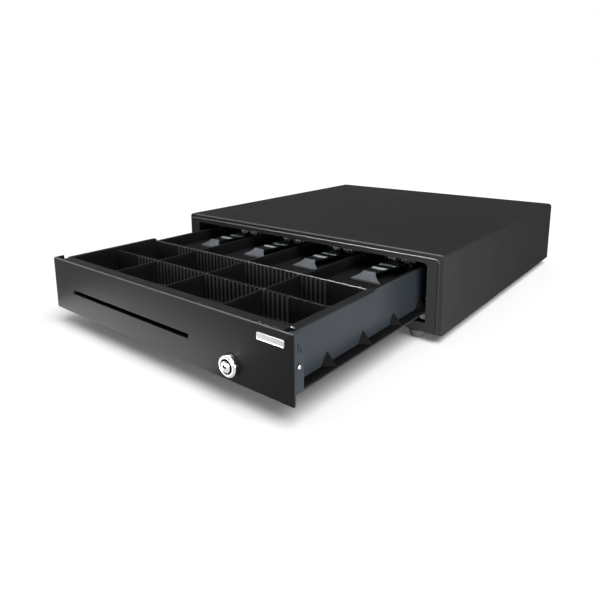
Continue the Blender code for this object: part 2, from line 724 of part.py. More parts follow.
def make_front_fittings(steel, plate_finish):
    for side, sign in (("left", -1), ("right", 1)):
        profile = [
            (0, SEAT_GAP + SCREW_HEAD_HEIGHT),
            (SCREW_HEAD_RADIUS - SCREW_HEAD_HEIGHT, SEAT_GAP + SCREW_HEAD_HEIGHT),
            (SCREW_HEAD_RADIUS, SEAT_GAP),
            (SCREW_SHANK_RADIUS, SEAT_GAP),
            (SCREW_SHANK_RADIUS, -SCREW_SHANK_LENGTH),
            (0, -SCREW_SHANK_LENGTH),
        ]
        centre = (sign * FRONT_HALF, FACE_Y + SCREW_FROM_FACE, FRONT_LOW + SCREW_RISE)
        turned(f"front_screw_{side}", profile, centre, (sign, 0, 0), steel, PIN_STEPS)
    middle = FRONT_HALF - PLATE_FROM_RIGHT
    plate_z = FRONT_HIGH - PLATE_BELOW_TOP
    low = (middle - PLATE_WIDTH / 2, plate_z - PLATE_HEIGHT / 2)
    high = (middle + PLATE_WIDTH / 2, plate_z + PLATE_HEIGHT / 2)
    outline = rounded_rectangle(low, high, PLATE_CORNER, PLATE_CORNER)
    back = FACE_Y - SEAT_GAP
    extruded("name_plate", outline, back - PLATE_THICKNESS, back, "Y", plate_finish)


def make_lock(chrome, steel):
    """Barrel, nut, plug and cam, turned about the lock's axis with +Y along the profile."""
    centre = (LOCK_X, FACE_Y, LOCK_Z)
    rim_centre = (LOCK_HEAD_RADIUS - LOCK_RIM_ROUND, LOCK_PROUD - LOCK_RIM_ROUND)
    rim = [(radius, -ahead) for radius, ahead in arc(rim_centre, LOCK_RIM_ROUND, 0, 90)]
    barrel = [
        (LOCK_BORE_RADIUS, LOCK_BODY_LENGTH),
        (LOCK_BODY_RADIUS, LOCK_BODY_LENGTH),
        (LOCK_BODY_RADIUS, -SEAT_GAP),
        (LOCK_HEAD_RADIUS, -SEAT_GAP),
        *rim,
        (LOCK_BORE_RADIUS, -LOCK_PROUD),
    ]
    turned("lock_barrel", barrel, centre, (0, 1, 0), chrome, FINE_STEPS, bored=True)
    plug_radius = LOCK_BORE_RADIUS - PIN_GAP
    plug_front = LOCK_RIM_SINK - LOCK_PROUD
    plug_profile = cylinder(plug_radius, plug_front, LOCK_BODY_LENGTH)
    plug = turned("lock_plug", plug_profile, centre, (0, 1, 0), chrome, FINE_STEPS)
    keyway = box(
        "keyway",
        (LOCK_X - KEYWAY_LENGTH / 2, FACE_Y + plug_front - LOCK_PROUD, LOCK_Z - KEYWAY_WIDTH / 2),
        (LOCK_X + KEYWAY_LENGTH / 2, FACE_Y + plug_front + KEYWAY_DEPTH, LOCK_Z + KEYWAY_WIDTH / 2),
    )
    cut(plug, keyway)
    nut_radius = LOCK_NUT_FLATS / math.sqrt(3)
    outline = [(LOCK_X + x, LOCK_Z + z) for x, z in arc((0, 0), nut_radius, 0, 300, 5)]
    nut_start = FACE_Y + FRONT_PLATE + SEAT_GAP
    nut = extruded("lock_nut", outline, nut_start, nut_start + LOCK_NUT_THICKNESS, "Y", steel)
    bore_profile = cylinder(LOCK_BODY_RADIUS + PIN_GAP, 0, LOCK_BODY_LENGTH)
    cut(nut, turned("nut_bore", bore_profile, centre, (0, 1, 0), steps=FINE_STEPS))
    half = CAM_WIDTH / 2
    cam_outline = arc((LOCK_X, LOCK_Z), half, 90, 270, 2 * ARC_STEPS)
    cam_outline += arc((LOCK_X + CAM_LENGTH - half, LOCK_Z), half, -90, 90, 2 * ARC_STEPS)
    extruded("lock_cam", cam_outline, CAM_Y, CAM_Y + CAM_THICKNESS, "Y", steel, centre)


def make_dart(name, sign, y):
    """A pressed gusset between the pan's wall and its flange: a leaning three-sided pyramid."""
    mesh = bpy.data.meshes.new(name)
    shape = bmesh.new()
    bmesh.ops.create_cone(shape, segments=3, radius1=1, radius2=0, depth=1, cap_ends=True)
    root = PAN_HALF - PAN_SHEET / 2
    for vert in shape.verts:
        out = (vert.co.y + 0.5) / 1.5
        along = vert.co.x / math.sqrt(3)
        top = vert.co.z > 0
        reach = root + (0 if top else out * (DART_REACH + PAN_SHEET / 2))
        vert.co.x = sign * reach
        vert.co.y = y + (0 if top else along * DART_LENGTH)
        vert.co.z = PAN_FLOOR + DART_HEIGHT if top else PAN_FLOOR - PAN_SHEET / 2
    bmesh.ops.recalc_face_normals(shape, faces=shape.faces)
    shape.to_mesh(mesh)
    shape.free()
    return place(bpy.data.objects.new(name, mesh), None)


def make_pan(steel):
    pan = box("drawer_pan", (-PAN_HALF, PAN_FRONT_Y, PAN_LOW), (PAN_HALF, PAN_BACK_Y, PAN_TOP), steel)
    cavity = box(
        "pan_cavity",
        (-PAN_INSIDE, PAN_FRONT_Y + PAN_SHEET, PAN_FLOOR),
        (PAN_INSIDE, PAN_BACK_Y - PAN_SHEET, PAN_TOP + PAN_SHEET),
    )
    cut(pan, cavity)
    tab_half = FRONT_HALF - FRONT_RETURN_SHEET - SEAT_GAP
    front_wall = box(
        "pan_front_wall",
        (-tab_half, PAN_FRONT_Y, RETURN_LOW),
        (tab_half, PAN_FRONT_Y + PAN_SHEET, PAN_TOP - PAN_SHEET / 4),
    )
    join(pan, front_wall)
    flange_start = FACE_Y + FRONT_RETURN_DEPTH + SEAT_GAP
    flange_end = REAR_ROLLER_Y - REAR_ROLLER_RADIUS - 2 * ROLLER_SIDE_GAP
    screw_z = FRONT_LOW + SCREW_RISE
    for side, sign in (("left", -1), ("right", 1)):
        reach = sorted((sign * (PAN_HALF - PAN_SHEET / 2), sign * (PAN_HALF + PAN_FLANGE)))
        flange_low = (reach[0], flange_start, PAN_LOW)
        flange = box(f"pan_flange_{side}", flange_low, (reach[1], flange_end, PAN_FLOOR))
        tab_x = sorted((sign * (tab_half - PAN_SHEET), sign * tab_half))
        tab = box(
            f"pan_screw_tab_{side}",
            (tab_x[0], PAN_FRONT_Y + PAN_SHEET / 2, screw_z - SCREW_TAB_HEIGHT / 2),
            (tab_x[1], FACE_Y + FRONT_RETURN_DEPTH, screw_z + SCREW_TAB_HEIGHT / 2),
        )
        darts = [
            make_dart(f"pan_dart_{side}_{n + 1}", sign, FACE_Y + DART_FIRST + n * DART_PITCH)
            for n in range(DART_COUNT)
        ]
        join(pan, flange, tab, *darts)
        screw_hole = turned(
            f"pan_screw_hole_{side}",
            cylinder(SCREW_SHANK_RADIUS + PIN_GAP, -2 * PAN_SHEET, PAN_SHEET),
            (sign * tab_half, FACE_Y + SCREW_FROM_FACE, screw_z),
            (sign, 0, 0),
        )
        pin_hole = turned(
            f"pan_pin_hole_{side}",
            cylinder(ROLLER_PIN_RADIUS + PIN_GAP, -2 * PAN_SHEET, PAN_SHEET),
            (sign * PAN_HALF, REAR_ROLLER_Y, REAR_ROLLER_Z),
            (sign, 0, 0),
        )
        cut(pan, screw_hole, pin_hole)
    stop_tab = box(
        "pan_stop_tab",
        (-STOP_TAB_WIDTH / 2, STOP_TAB_Y, PAN_LOW - STOP_TAB_DROP),
        (STOP_TAB_WIDTH / 2, STOP_TAB_Y + PAN_SHEET, PAN_LOW + PAN_SHEET / 2),
    )
    join(pan, stop_tab)
    slot_low, slot_high = slot_corners(SLOT_MARGIN)
    slot = box(
        "pan_slot",
        (slot_low[0], PAN_FRONT_Y - PAN_SHEET, slot_low[1]),
        (slot_high[0], PAN_FRONT_Y + 2 * PAN_SHEET, slot_high[1]),
    )
    nut_room = turned(
        "pan_nut_room",
        cylinder(LOCK_NUT_FLATS / math.sqrt(3) + LOCK_NUT_ROOM, -PAN_SHEET, 2 * PAN_SHEET),
        (LOCK_X, PAN_FRONT_Y, LOCK_Z),
        (0, 1, 0),
    )
    cam_half = CAM_LENGTH + LOCK_NUT_ROOM
    cam_room = box(
        "pan_cam_room",
        (LOCK_X - LOCK_NUT_FLATS / math.sqrt(3), PAN_FRONT_Y - PAN_SHEET, PAN_LOW - PAN_SHEET),
        (LOCK_X + cam_half, CAM_Y + CAM_THICKNESS + CAM_ROOM, PAN_FLOOR + PAN_SHEET),
    )
    cut(pan, slot, nut_room, cam_room)


def make_stop_bumper(rubber):
    stop_y = STOP_TAB_Y - DRAWER_TRAVEL_LEFT - SEAT_GAP
    low = (-BUMPER_WIDTH / 2, stop_y - BUMPER_LENGTH, BASE_TOP + SEAT_GAP)
    high = (BUMPER_WIDTH / 2, stop_y, BASE_TOP + SEAT_GAP + BUMPER_HEIGHT)
    round_edges(box("stop_bumper", low, high, rubber), BUMPER_LENGTH / 6, 1)


def comb_side(y, towards, reverse):
    """One ribbed side of a coin row: points along X whose ribs stand towards +Y or -Y."""
    points = []
    for n in range(COMB_RIBS):
        middle = (n - (COMB_RIBS - 1) / 2) * COMB_PITCH
        start, end = middle - COMB_RIB_WIDTH / 2, middle + COMB_RIB_WIDTH / 2
        tip = y + towards * COMB_RIB_DEPTH
        points += [(start, y), (start, tip), (end, tip), (end, y)]
    return points[::-1] if reverse else points


def row_start(row):
    return COIN_FRONT_Y + COIN_TRAY_FRONT_LAND + row * COIN_ROW_PITCH


def make_coin_tray(plastic):
    tray = box(
        "coin_tray",
        (-COIN_HALF, COIN_FRONT_Y, COIN_BOTTOM),
        (COIN_HALF, COIN_BACK_Y, COIN_RIM_TOP),
        plastic,
    )
    inside = COIN_HALF - TRAY_WALL
    sunk = box(
        "coin_tray_sunk_middle",
        (-inside - COIN_LEDGE, row_start(0) - COIN_LEDGE, COIN_WALL_TOP),
        (inside + COIN_LEDGE, COIN_BACK_Y + TRAY_WALL, COIN_RIM_TOP + TRAY_WALL),
    )
    cut(tray, sunk, solver="MANIFOLD")
    for row in range(COIN_ROWS):
        front, back = row_start(row), row_start(row) + COIN_ROW_LENGTH
        outline = [(-inside, front), *comb_side(front, 1, False), (inside, front)]
        outline += [(inside, back), *comb_side(back, -1, True), (-inside, back)]
        pocket = extruded(f"coin_row_{row + 1}", outline, COIN_BOTTOM + COIN_TRAY_FLOOR, COIN_RIM_TOP, "Z")
        cut(tray, pocket, solver="MANIFOLD")
    rim_low = PAN_TOP + SEAT_GAP
    for side, sign in (("left", -1), ("right", 1)):
        reach = sorted((sign * (COIN_HALF - TRAY_WALL / 2), sign * (PAN_HALF + COIN_TRAY_RIM_REACH)))
        rim = box(
            f"coin_tray_rim_{side}",
            (reach[0], FACE_Y + FRONT_RETURN_DEPTH + SEAT_GAP, rim_low),
            (reach[1], COIN_BACK_Y, COIN_RIM_TOP),
        )
        round_edges(rim, COIN_TRAY_RIM_THICKNESS / 5, 1)
        join(tray, rim, solver="MANIFOLD")


def make_coin_dividers(plastic):
    low = COIN_BOTTOM + COIN_TRAY_FLOOR + SEAT_GAP
    half = DIVIDER_THICKNESS / 2
    for row in range(COIN_ROWS):
        start = row_start(row) + SEAT_GAP
        end = row_start(row) + COIN_ROW_LENGTH - SEAT_GAP
        for column, x in enumerate((-DIVIDER_X, 0, DIVIDER_X)):
            name = f"coin_divider_{row * 3 + column + 1}"
            box(name, (x - half, start, low), (x + half, end, COIN_WALL_TOP), plastic)


def note_walls():
    """The left and right limits of each note compartment."""
    half = TRAY_WALL / 2
    inside = COIN_HALF - TRAY_WALL
    edges = [-inside - half, -DIVIDER_X, 0, DIVIDER_X, inside + half]
    return [(a + half, b - half) for a, b in zip(edges, edges[1:])]


def make_note_tray(plastic):
    tray = box(
        "note_tray",
        (-COIN_HALF, NOTE_FRONT_Y, PAN_FLOOR + SEAT_GAP),
        (COIN_HALF, NOTE_BACK_Y, PAN_TOP),
        plastic,
    )
    inside = COIN_HALF - TRAY_WALL
    under = box(
        "note_tray_underside",
        (-inside, NOTE_FRONT_Y - TRAY_WALL, PAN_LOW),
        (inside, NOTE_BACK_Y - TRAY_WALL, NOTE_FLOOR - NOTE_FLOOR_THICKNESS),
    )
    cut(tray, under)
    for n, (left, right) in enumerate(note_walls()):
        room = box(
            f"note_room_{n + 1}",
            (left, NOTE_FRONT_Y + TRAY_WALL, NOTE_FLOOR),
            (right, NOTE_BACK_Y - TRAY_WALL, PAN_TOP + TRAY_WALL),
        )
        cut(tray, room)


def ribbon(name, x, stations, finish=None, origin=(0, 0, 0)):
    """A strip along Y, given as (distance ahead of the hinge, half width, top, thickness) from back to front."""
    rings = []
    for ahead, half, top, thickness in stations:
        corners = ((half, top), (-half, top), (-half, top - thickness), (half, top - thickness))
        rings.append([Vector((x + across, HINGE_Y - ahead, z)) - Vector(origin) for across, z in corners])
    faces = [(0, 1, 2, 3), tuple(4 * (len(rings) - 1) + corner for corner in (3, 2, 1, 0))]
    for n in range(len(rings) - 1):
        for corner in range(4):
            after = (corner + 1) % 4
            faces.append((4 * n + corner, 4 * n + 4 + corner, 4 * n + 4 + after, 4 * n + after))
    mesh = bpy.data.meshes.new(name)
    mesh.from_pydata([corner for ring in rings for corner in ring], [], faces)
    shape = bmesh.new()
    shape.from_mesh(mesh)
    bmesh.ops.recalc_face_normals(shape, faces=shape.faces)
    shape.to_mesh(mesh)
    shape.free()
    obj = bpy.data.objects.new(name, mesh)
    obj.location = origin
    return place(obj, finish)


def clip_arm_at(ahead):
    """Half the width of the arm and the height of its top, at a distance ahead of the hinge."""
    share = (ahead - CLIP_ROOT) / (CLIP_NECK - CLIP_ROOT)
    half = CLIP_ROOT_HALF_WIDTH + (CLIP_NECK_HALF_WIDTH - CLIP_ROOT_HALF_WIDTH) * share
    return half, HINGE_Z - CLIP_ROOT_DROP + (CLIP_NECK_RISE + CLIP_ROOT_DROP) * share


def clip_stations():
    """The arm from its root to its neck, then the pad that flares and slopes down to the notes."""
    stations = [(CLIP_ROOT, *clip_arm_at(CLIP_ROOT), CLIP_ARM_THICKNESS)]
    neck_half, neck_top = clip_arm_at(CLIP_NECK)
    fall = neck_top - CLIP_PAD_LOW - CLIP_PAD_THICKNESS
    for n in range(2 * ARC_STEPS + 1):
        share = n / (2 * ARC_STEPS)
        half = neck_half + (CLIP_PAD_HALF_WIDTH - neck_half) * share**2
        thickness = CLIP_ARM_THICKNESS + (CLIP_PAD_THICKNESS - CLIP_ARM_THICKNESS) * share
        stations.append((CLIP_NECK + CLIP_PAD_LENGTH * share, half, neck_top - fall * share, thickness))
    return stations


def make_clip(n, x, plastic):
    hinge = (x, HINGE_Y, HINGE_Z)
    clip = ribbon(f"note_clip_{n}", x, clip_stations(), plastic, hinge)
    last_start = CLIP_NECK - CLIP_TREAD_LENGTH
    for tread in range(math.floor((last_start - CLIP_TREAD_FIRST) / CLIP_TREAD_PITCH) + 1):
        strip = []
        for ahead in (0, CLIP_TREAD_LENGTH):
            ahead += CLIP_TREAD_FIRST + tread * CLIP_TREAD_PITCH
            half, top = clip_arm_at(ahead)
            thickness = CLIP_TREAD_HEIGHT + CLIP_TREAD_SINK
            strip.append((ahead, half - CLIP_TREAD_MARGIN, top + CLIP_TREAD_HEIGHT, thickness))
        join(clip, ribbon(f"clip_tread_{n}_{tread + 1}", x, strip))
    half = CLIP_KNUCKLE_WIDTH / 2
    root_top = clip_arm_at(CLIP_ROOT)[1]
    tongue = box(
        f"clip_tongue_{n}",
        (x - half, HINGE_Y - CLIP_ROOT - CLIP_ARM_THICKNESS, root_top - 0.85 * CLIP_ARM_THICKNESS),
        (x + half, HINGE_Y, root_top - 0.15 * CLIP_ARM_THICKNESS),
    )
    knuckle = turned(f"clip_knuckle_{n}", cylinder(CLIP_KNUCKLE_RADIUS, -half, half), hinge, (1, 0, 0))
    bore_profile = cylinder(CLIP_PIN_RADIUS + PIN_GAP, -CLIP_KNUCKLE_WIDTH, CLIP_KNUCKLE_WIDTH)
    bore = turned(f"clip_bore_{n}", bore_profile, hinge, (1, 0, 0))
    join(clip, tongue, knuckle)
    cut(clip, bore)


def make_clip_bracket(n, x, plastic, steel):
    outer = CLIP_LUG_INSET + CLIP_LUG_THICKNESS
    base = NOTE_FLOOR + SEAT_GAP
    half = CLIP_BASE_LENGTH / 2
    bracket = box(
        f"note_clip_bracket_{n}",
        (x - outer, HINGE_Y - half, base),
        (x + outer, HINGE_Y + half, base + CLIP_BASE_THICKNESS),
        plastic,
    )
    lug_half = CLIP_LUG_LENGTH / 2
    for side, sign in (("left", -1), ("right", 1)):
        reach = sorted((x + sign * CLIP_LUG_INSET, x + sign * outer))
        lug = box(
            f"clip_lug_{n}_{side}",
            (reach[0], HINGE_Y - lug_half, base + CLIP_BASE_THICKNESS / 2),
            (reach[1], HINGE_Y + lug_half, HINGE_Z + CLIP_LUG_OVER_PIN),
        )
        join(bracket, lug)
    hinge = (x, HINGE_Y, HINGE_Z)
    hole_profile = cylinder(CLIP_PIN_RADIUS + PIN_GAP, -2 * outer, 2 * outer)
    cut(bracket, turned(f"clip_lug_hole_{n}", hole_profile, hinge, (1, 0, 0)))
    end = outer + SEAT_GAP
    pin = headed_pin(CLIP_PIN_RADIUS, CLIP_PIN_HEAD, CLIP_PIN_HEAD_THICKNESS, -end, end)
    turned(f"note_clip_pin_{n}", pin, hinge, (1, 0, 0), steel, PIN_STEPS)


def make_clip_spring(n, x, steel):
    """A double torsion spring: two coils on the pin, joined by a bridge that presses on the clip's arm."""
    inner = CLIP_KNUCKLE_WIDTH / 2 + CLIP_SPRING_KNUCKLE_GAP
    bridge_z = clip_arm_at(CLIP_SPRING_REACH)[1] + SEAT_GAP + CLIP_SPRING_WIRE / 2
    half = [Vector((inner, -CLIP_SPRING_REACH, bridge_z - HINGE_Z))]
    for step in range(CLIP_SPRING_CURLS * CURL_POINTS + 1):
        turn = 2 * math.pi * step / CURL_POINTS
        along = inner + CLIP_SPRING_PITCH * step / CURL_POINTS
        half.append(Vector((along, 0, 0)) + CLIP_SPRING_RADIUS * Vector((0, math.sin(turn), math.cos(turn))))
    half.append(half[-1] + Vector((0, CLIP_SPRING_TAIL, 0)))
    mirrored = [Vector((-p.x, p.y, p.z)) for p in reversed(half)]
    hinge = Vector((x, HINGE_Y, HINGE_Z))
    points = [hinge + p for p in mirrored + half]
    wire(f"note_clip_spring_{n}", points, CLIP_SPRING_WIRE, steel, hinge)


def make_striker(steel):
    """A plate on the drawer's back with an arm and a post for the latch to hook."""
    start = PAN_BACK_Y + SEAT_GAP
    half = STRIKER_PLATE_WIDTH / 2
    high = PAN_LOW + STRIKER_PLATE_HEIGHT
    striker = box("striker", (-half, start, PAN_LOW), (half, start + STRIKER_ARM_THICKNESS, high), steel)
    post_y = PAN_BACK_Y + STRIKER_POST_BEHIND_PAN
    arm = box(
        "striker_arm",
        (-half, start + STRIKER_ARM_THICKNESS / 2, PAN_LOW),
        (half, post_y + STRIKER_POST_RADIUS, PAN_LOW + STRIKER_ARM_THICKNESS),
    )
    profile = cylinder(STRIKER_POST_RADIUS, -STRIKER_POST_LENGTH, STRIKER_ARM_THICKNESS / 2)
    join(striker, arm, turned("striker_post", profile, (0, post_y, PAN_LOW), (0, 0, 1)))


def make_latch(steel):
    """The latch lever in its open position, its hook swung clear of the striker's post."""
    pivot = Vector((LATCH_PIVOT_RIGHT, LATCH_PIVOT_Y, COIL_Z))
    post_front = CLOSED_PAN_BACK_Y + STRIKER_POST_BEHIND_PAN - STRIKER_POST_RADIUS
    hook_back = post_front - LATCH_HOOK_GAP - LATCH_PIVOT_Y
    hook_front = hook_back - LATCH_HOOK_WIDTH
    half, tail = LATCH_LEVER_WIDTH / 2, LATCH_TAIL_WIDTH / 2
    outline = [
        (tail, LATCH_TAIL_LENGTH),
        (-tail, LATCH_TAIL_LENGTH),
        (-tail, 0),
        (-half, 0),
        (-half, hook_back),
        (half - LATCH_HOOK_LENGTH, hook_back),
        (half - LATCH_HOOK_LENGTH, hook_front),
        (half, hook_front),
        (half, 0),
        (tail, 0),
    ]
    thickness = LATCH_LEVER_THICKNESS / 2
    lever = extruded("latch_lever", outline, -thickness, thickness, "Z", steel)
    hub = turned("latch_hub", cylinder(LATCH_HUB_RADIUS, -thickness, thickness), pivot, (0, 0, 1))
    bore_profile = cylinder(LATCH_PIN_RADIUS + PIN_GAP, -2 * thickness, 2 * thickness)
    bore = turned("latch_bore", bore_profile, pivot, (0, 0, 1))
    lever.location = pivot
    lever.rotation_euler.z = LATCH_OPEN_ANGLE
    join(lever, hub)
    cut(lever, bore)
    head = thickness + SEAT_GAP
    pin = [
        (0, head + LATCH_PIN_HEAD_THICKNESS),
        (LATCH_PIN_HEAD, head + LATCH_PIN_HEAD_THICKNESS),
        (LATCH_PIN_HEAD, head),
        (LATCH_PIN_RADIUS, head),
        (LATCH_PIN_RADIUS, -head),
        (LATCH_PIN_HEAD, -head),
        (LATCH_PIN_HEAD, BRACKET_TOP + SEAT_GAP - COIL_Z),
        (0, BRACKET_TOP + SEAT_GAP - COIL_Z),
    ]
    turned("latch_pivot_pin", pin, pivot, (0, 0, 1), steel, PIN_STEPS)


def make_solenoid(winding, steel):
    """The coil on its bobbin, and the plunger whose spool holds the latch's tail."""
    spool_left = SPOOL_X - SPOOL_GROOVE / 2
    coil_right = spool_left - SPOOL_CHEEK - COIL_GAP_TO_SPOOL
    centre = (coil_right, PLUNGER_Y, COIL_Z)
    bore = PLUNGER_RADIUS + PIN_GAP
    wound = COIL_RADIUS - COIL_WINDING_DROP
    coil = [
        (bore, 0),
        (COIL_RADIUS, 0),
        (COIL_RADIUS, -COIL_CHEEK),
        (wound, -COIL_CHEEK),
        (wound, COIL_CHEEK - COIL_LENGTH),
        (COIL_RADIUS, COIL_CHEEK - COIL_LENGTH),
        (COIL_RADIUS, -COIL_LENGTH),
        (bore, -COIL_LENGTH),
    ]
    turned("solenoid_coil", coil, centre, (1, 0, 0), winding, FINE_STEPS, bored=True)
    groove = spool_left - coil_right
    plunger = [
        (0, groove + SPOOL_GROOVE + SPOOL_CHEEK),
        (SPOOL_RADIUS, groove + SPOOL_GROOVE + SPOOL_CHEEK),
        (SPOOL_RADIUS, groove + SPOOL_GROOVE),
        (SPOOL_NECK, groove + SPOOL_GROOVE),
        (SPOOL_NECK, groove),
        (SPOOL_RADIUS, groove),
        (SPOOL_RADIUS, groove - SPOOL_CHEEK),
        (PLUNGER_RADIUS, groove - SPOOL_CHEEK),
        (PLUNGER_RADIUS, -PLUNGER_INSERTION),
        (0, -PLUNGER_INSERTION),
    ]
    turned("solenoid_plunger", plunger, centre, (1, 0, 0), steel)
    return coil_right - COIL_LENGTH


def make_latch_bracket(coil_left, steel):
    """The sheet that carries the latch, the coil, the kick spring's rod and the switch."""
    low = BASE_TOP + SEAT_GAP
    front = BRACKET_BACK_Y - BRACKET_LENGTH
    high = (BRACKET_RIGHT, BRACKET_BACK_Y, BRACKET_TOP)
    bracket = box("latch_bracket", (-BRACKET_LEFT, front, low), high, steel)
    inside = BRACKET_TOP - BRACKET_SHEET / 2
    coil_lug = box(
        "coil_lug",
        (coil_left - SEAT_GAP - BRACKET_SHEET, PLUNGER_Y - COIL_RADIUS, inside),
        (coil_left - SEAT_GAP, PLUNGER_Y + COIL_RADIUS, BRACKET_TOP + COIL_LUG_HEIGHT),
    )
    kick_half = KICK_LUG_WIDTH / 2
    kick_lug = box(
        "kick_lug",
        (-KICK_SPRING_LEFT - kick_half, BRACKET_BACK_Y - BRACKET_SHEET, inside),
        (-KICK_SPRING_LEFT + kick_half, BRACKET_BACK_Y, BRACKET_TOP + KICK_LUG_HEIGHT),
    )
    rod = turned(
        "kick_rod",
        cylinder(KICK_ROD_RADIUS, -KICK_ROD_LENGTH, -BRACKET_SHEET / 2),
        (-KICK_SPRING_LEFT, BRACKET_BACK_Y, BRACKET_TOP + KICK_SPRING_RISE),
        (0, 1, 0),
    )
    switch_half = SWITCH_LUG_WIDTH / 2
    switch_seat = SWITCH_BACK_Y + SEAT_GAP
    switch_high = BRACKET_TOP + SWITCH_RISE + SWITCH_HEIGHT
    switch_lug = box(
        "switch_lug",
        (SWITCH_RIGHT - switch_half, switch_seat, inside),
        (SWITCH_RIGHT + switch_half, switch_seat + BRACKET_SHEET, switch_high),
    )
    join(bracket, coil_lug, kick_lug, rod, switch_lug)


def make_switch(plastic):
    """The switch that the drawer's back presses when it is shut."""
    front = SWITCH_BACK_Y - SWITCH_DEPTH
    low = BRACKET_TOP + SWITCH_RISE
    half = SWITCH_WIDTH / 2
    switch = box(
        "drawer_switch",
        (SWITCH_RIGHT - half, front, low),
        (SWITCH_RIGHT + half, SWITCH_BACK_Y, low + SWITCH_HEIGHT),
        plastic,
    )
    middle = low + SWITCH_HEIGHT / 2
    button = box(
        "switch_button",
        (SWITCH_RIGHT - SWITCH_BUTTON, front - SWITCH_BUTTON_TRAVEL, middle - SWITCH_BUTTON / 2),
        (SWITCH_RIGHT + SWITCH_BUTTON, front + SWITCH_DEPTH / 2, middle + SWITCH_BUTTON / 2),
    )
    join(switch, button)


def make_kick_spring(steel):
    """The spring that pushes the drawer out, at its free length."""
    seat = BRACKET_BACK_Y - BRACKET_SHEET - SEAT_GAP - KICK_SPRING_WIRE / 2
    free_end = CLOSED_PAN_BACK_Y - KICK_SPRING_PRELOAD + KICK_SPRING_WIRE / 2
    centre = Vector((-KICK_SPRING_LEFT, seat, BRACKET_TOP + KICK_SPRING_RISE))
    points = []
    steps = KICK_SPRING_CURLS * CURL_POINTS
    for step in range(steps + 1):
        turn = 2 * math.pi * step / CURL_POINTS
        along = (free_end - seat) * step / steps
        across = KICK_SPRING_RADIUS * Vector((math.cos(turn), 0, math.sin(turn)))
        points.append(centre + across + Vector((0, along, 0)))
    wire("kick_spring", points, KICK_SPRING_WIRE, steel, centre)


def main():
    clear_scene()
    case_paint = material("case_paint", (0.033, 0.033, 0.032), 0.55)
    front_paint = material("front_paint", (0.04, 0.04, 0.04), 0.45)
    pan_paint = material("pan_paint", (0.028, 0.03, 0.034), 0.4)
    tray_plastic = material("tray_plastic", (0.012, 0.012, 0.012), 0.5)
    clip_plastic = material("clip_plastic", (0.02, 0.021, 0.023), 0.25)
    rubber = material("rubber", (0.03, 0.03, 0.03), 0.8)
    zinc = material("zinc_steel", (0.55, 0.55, 0.56), 0.35, 1.0)
    spring_steel = material("spring_steel", (0.42, 0.43, 0.47), 0.3, 1.0)
    chrome = material("chrome", (0.78, 0.78, 0.8), 0.12, 1.0)
    plate_finish = material("silver_plate", (0.72, 0.73, 0.75), 0.3, 1.0)
    roller_plastic = material("roller_plastic", (0.5, 0.5, 0.5), 0.4)
    winding = material("coil_winding", (0.35, 0.12, 0.05), 0.45)
    dark_plastic = material("dark_plastic", (0.02, 0.02, 0.02), 0.5)

    make_case(case_paint)
    make_grommet(rubber)
    make_base(case_paint)
    make_feet(rubber)
    for side, sign in (("left", -1), ("right", 1)):
        make_runner(side, sign, zinc)
        make_front_roller(side, sign, roller_plastic, zinc)
        make_rear_roller(side, sign, roller_plastic, zinc)
    make_stop_bumper(rubber)
    make_drawer_front(front_paint)
    make_front_fittings(zinc, plate_finish)
    make_lock(chrome, zinc)
    make_pan(pan_paint)
    make_coin_tray(tray_plastic)
    make_coin_dividers(tray_plastic)
    make_note_tray(tray_plastic)
    for n, (left, right) in enumerate(note_walls(), 1):
        middle = (left + right) / 2
        make_clip(n, middle, clip_plastic)
        make_clip_bracket(n, middle, clip_plastic, zinc)
        make_clip_spring(n, middle, spring_steel)
    make_striker(zinc)
    make_latch(zinc)
    coil_left = make_solenoid(winding, zinc)
    make_latch_bracket(coil_left, zinc)
    make_switch(dark_plastic)
    make_kick_spring(spring_steel)


main()
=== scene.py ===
"""The looks of a steel cash drawer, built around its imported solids.

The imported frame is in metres, +Z up, with the drawer opening towards -Y. Lengths below are millimetres, apart
from those of materials, lamps and the floor, which are metres.
"""

import math
from functools import partial, reduce

import bmesh
import bpy
from mathutils import Matrix, Vector


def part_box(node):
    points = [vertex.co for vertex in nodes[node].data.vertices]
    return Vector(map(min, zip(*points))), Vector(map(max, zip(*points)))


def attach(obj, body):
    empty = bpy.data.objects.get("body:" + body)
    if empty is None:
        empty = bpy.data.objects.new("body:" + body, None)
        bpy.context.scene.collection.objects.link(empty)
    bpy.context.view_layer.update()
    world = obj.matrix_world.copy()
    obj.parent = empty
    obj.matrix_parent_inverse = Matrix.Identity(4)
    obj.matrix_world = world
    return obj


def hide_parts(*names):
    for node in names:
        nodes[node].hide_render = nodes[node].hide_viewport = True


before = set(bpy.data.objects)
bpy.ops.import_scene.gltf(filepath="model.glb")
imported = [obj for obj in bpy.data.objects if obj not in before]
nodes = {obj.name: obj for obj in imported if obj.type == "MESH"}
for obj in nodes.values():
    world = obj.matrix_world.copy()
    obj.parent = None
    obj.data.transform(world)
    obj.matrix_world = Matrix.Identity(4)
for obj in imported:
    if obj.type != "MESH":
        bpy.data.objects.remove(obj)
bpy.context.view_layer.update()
scene = bpy.context.scene
MM = 0.001
SIDES = (("left", -1), ("right", 1))
RIGHT, FRONT, BACK, UP, DOWN = (1, 0, 0), (0, -1, 0), (0, 1, 0), (0, 0, 1), (0, 0, -1)
CLIPS, DIVIDERS = range(1, 5), range(1, 7)


def span(name):
    """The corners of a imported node's box, in millimetres."""
    return tuple(Vector(corner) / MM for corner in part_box(name))


def middle(name):
    low, high = span(name)
    return (low + high) / 2


# Camera, fitted to the photo: place in millimetres, turns in radians, image in pixels

IMAGE_SIZE = 600
CENTRE_ROW = 220
FOCAL_PIXELS = 536.87
CAMERA_PLACE = (429.05, -611.52, 248.58)
YAW, PITCH, ROLL = -0.67986, 0.19756, 0.0055
SENSOR_WIDTH = 36
NEAR_CLIP = 0.01


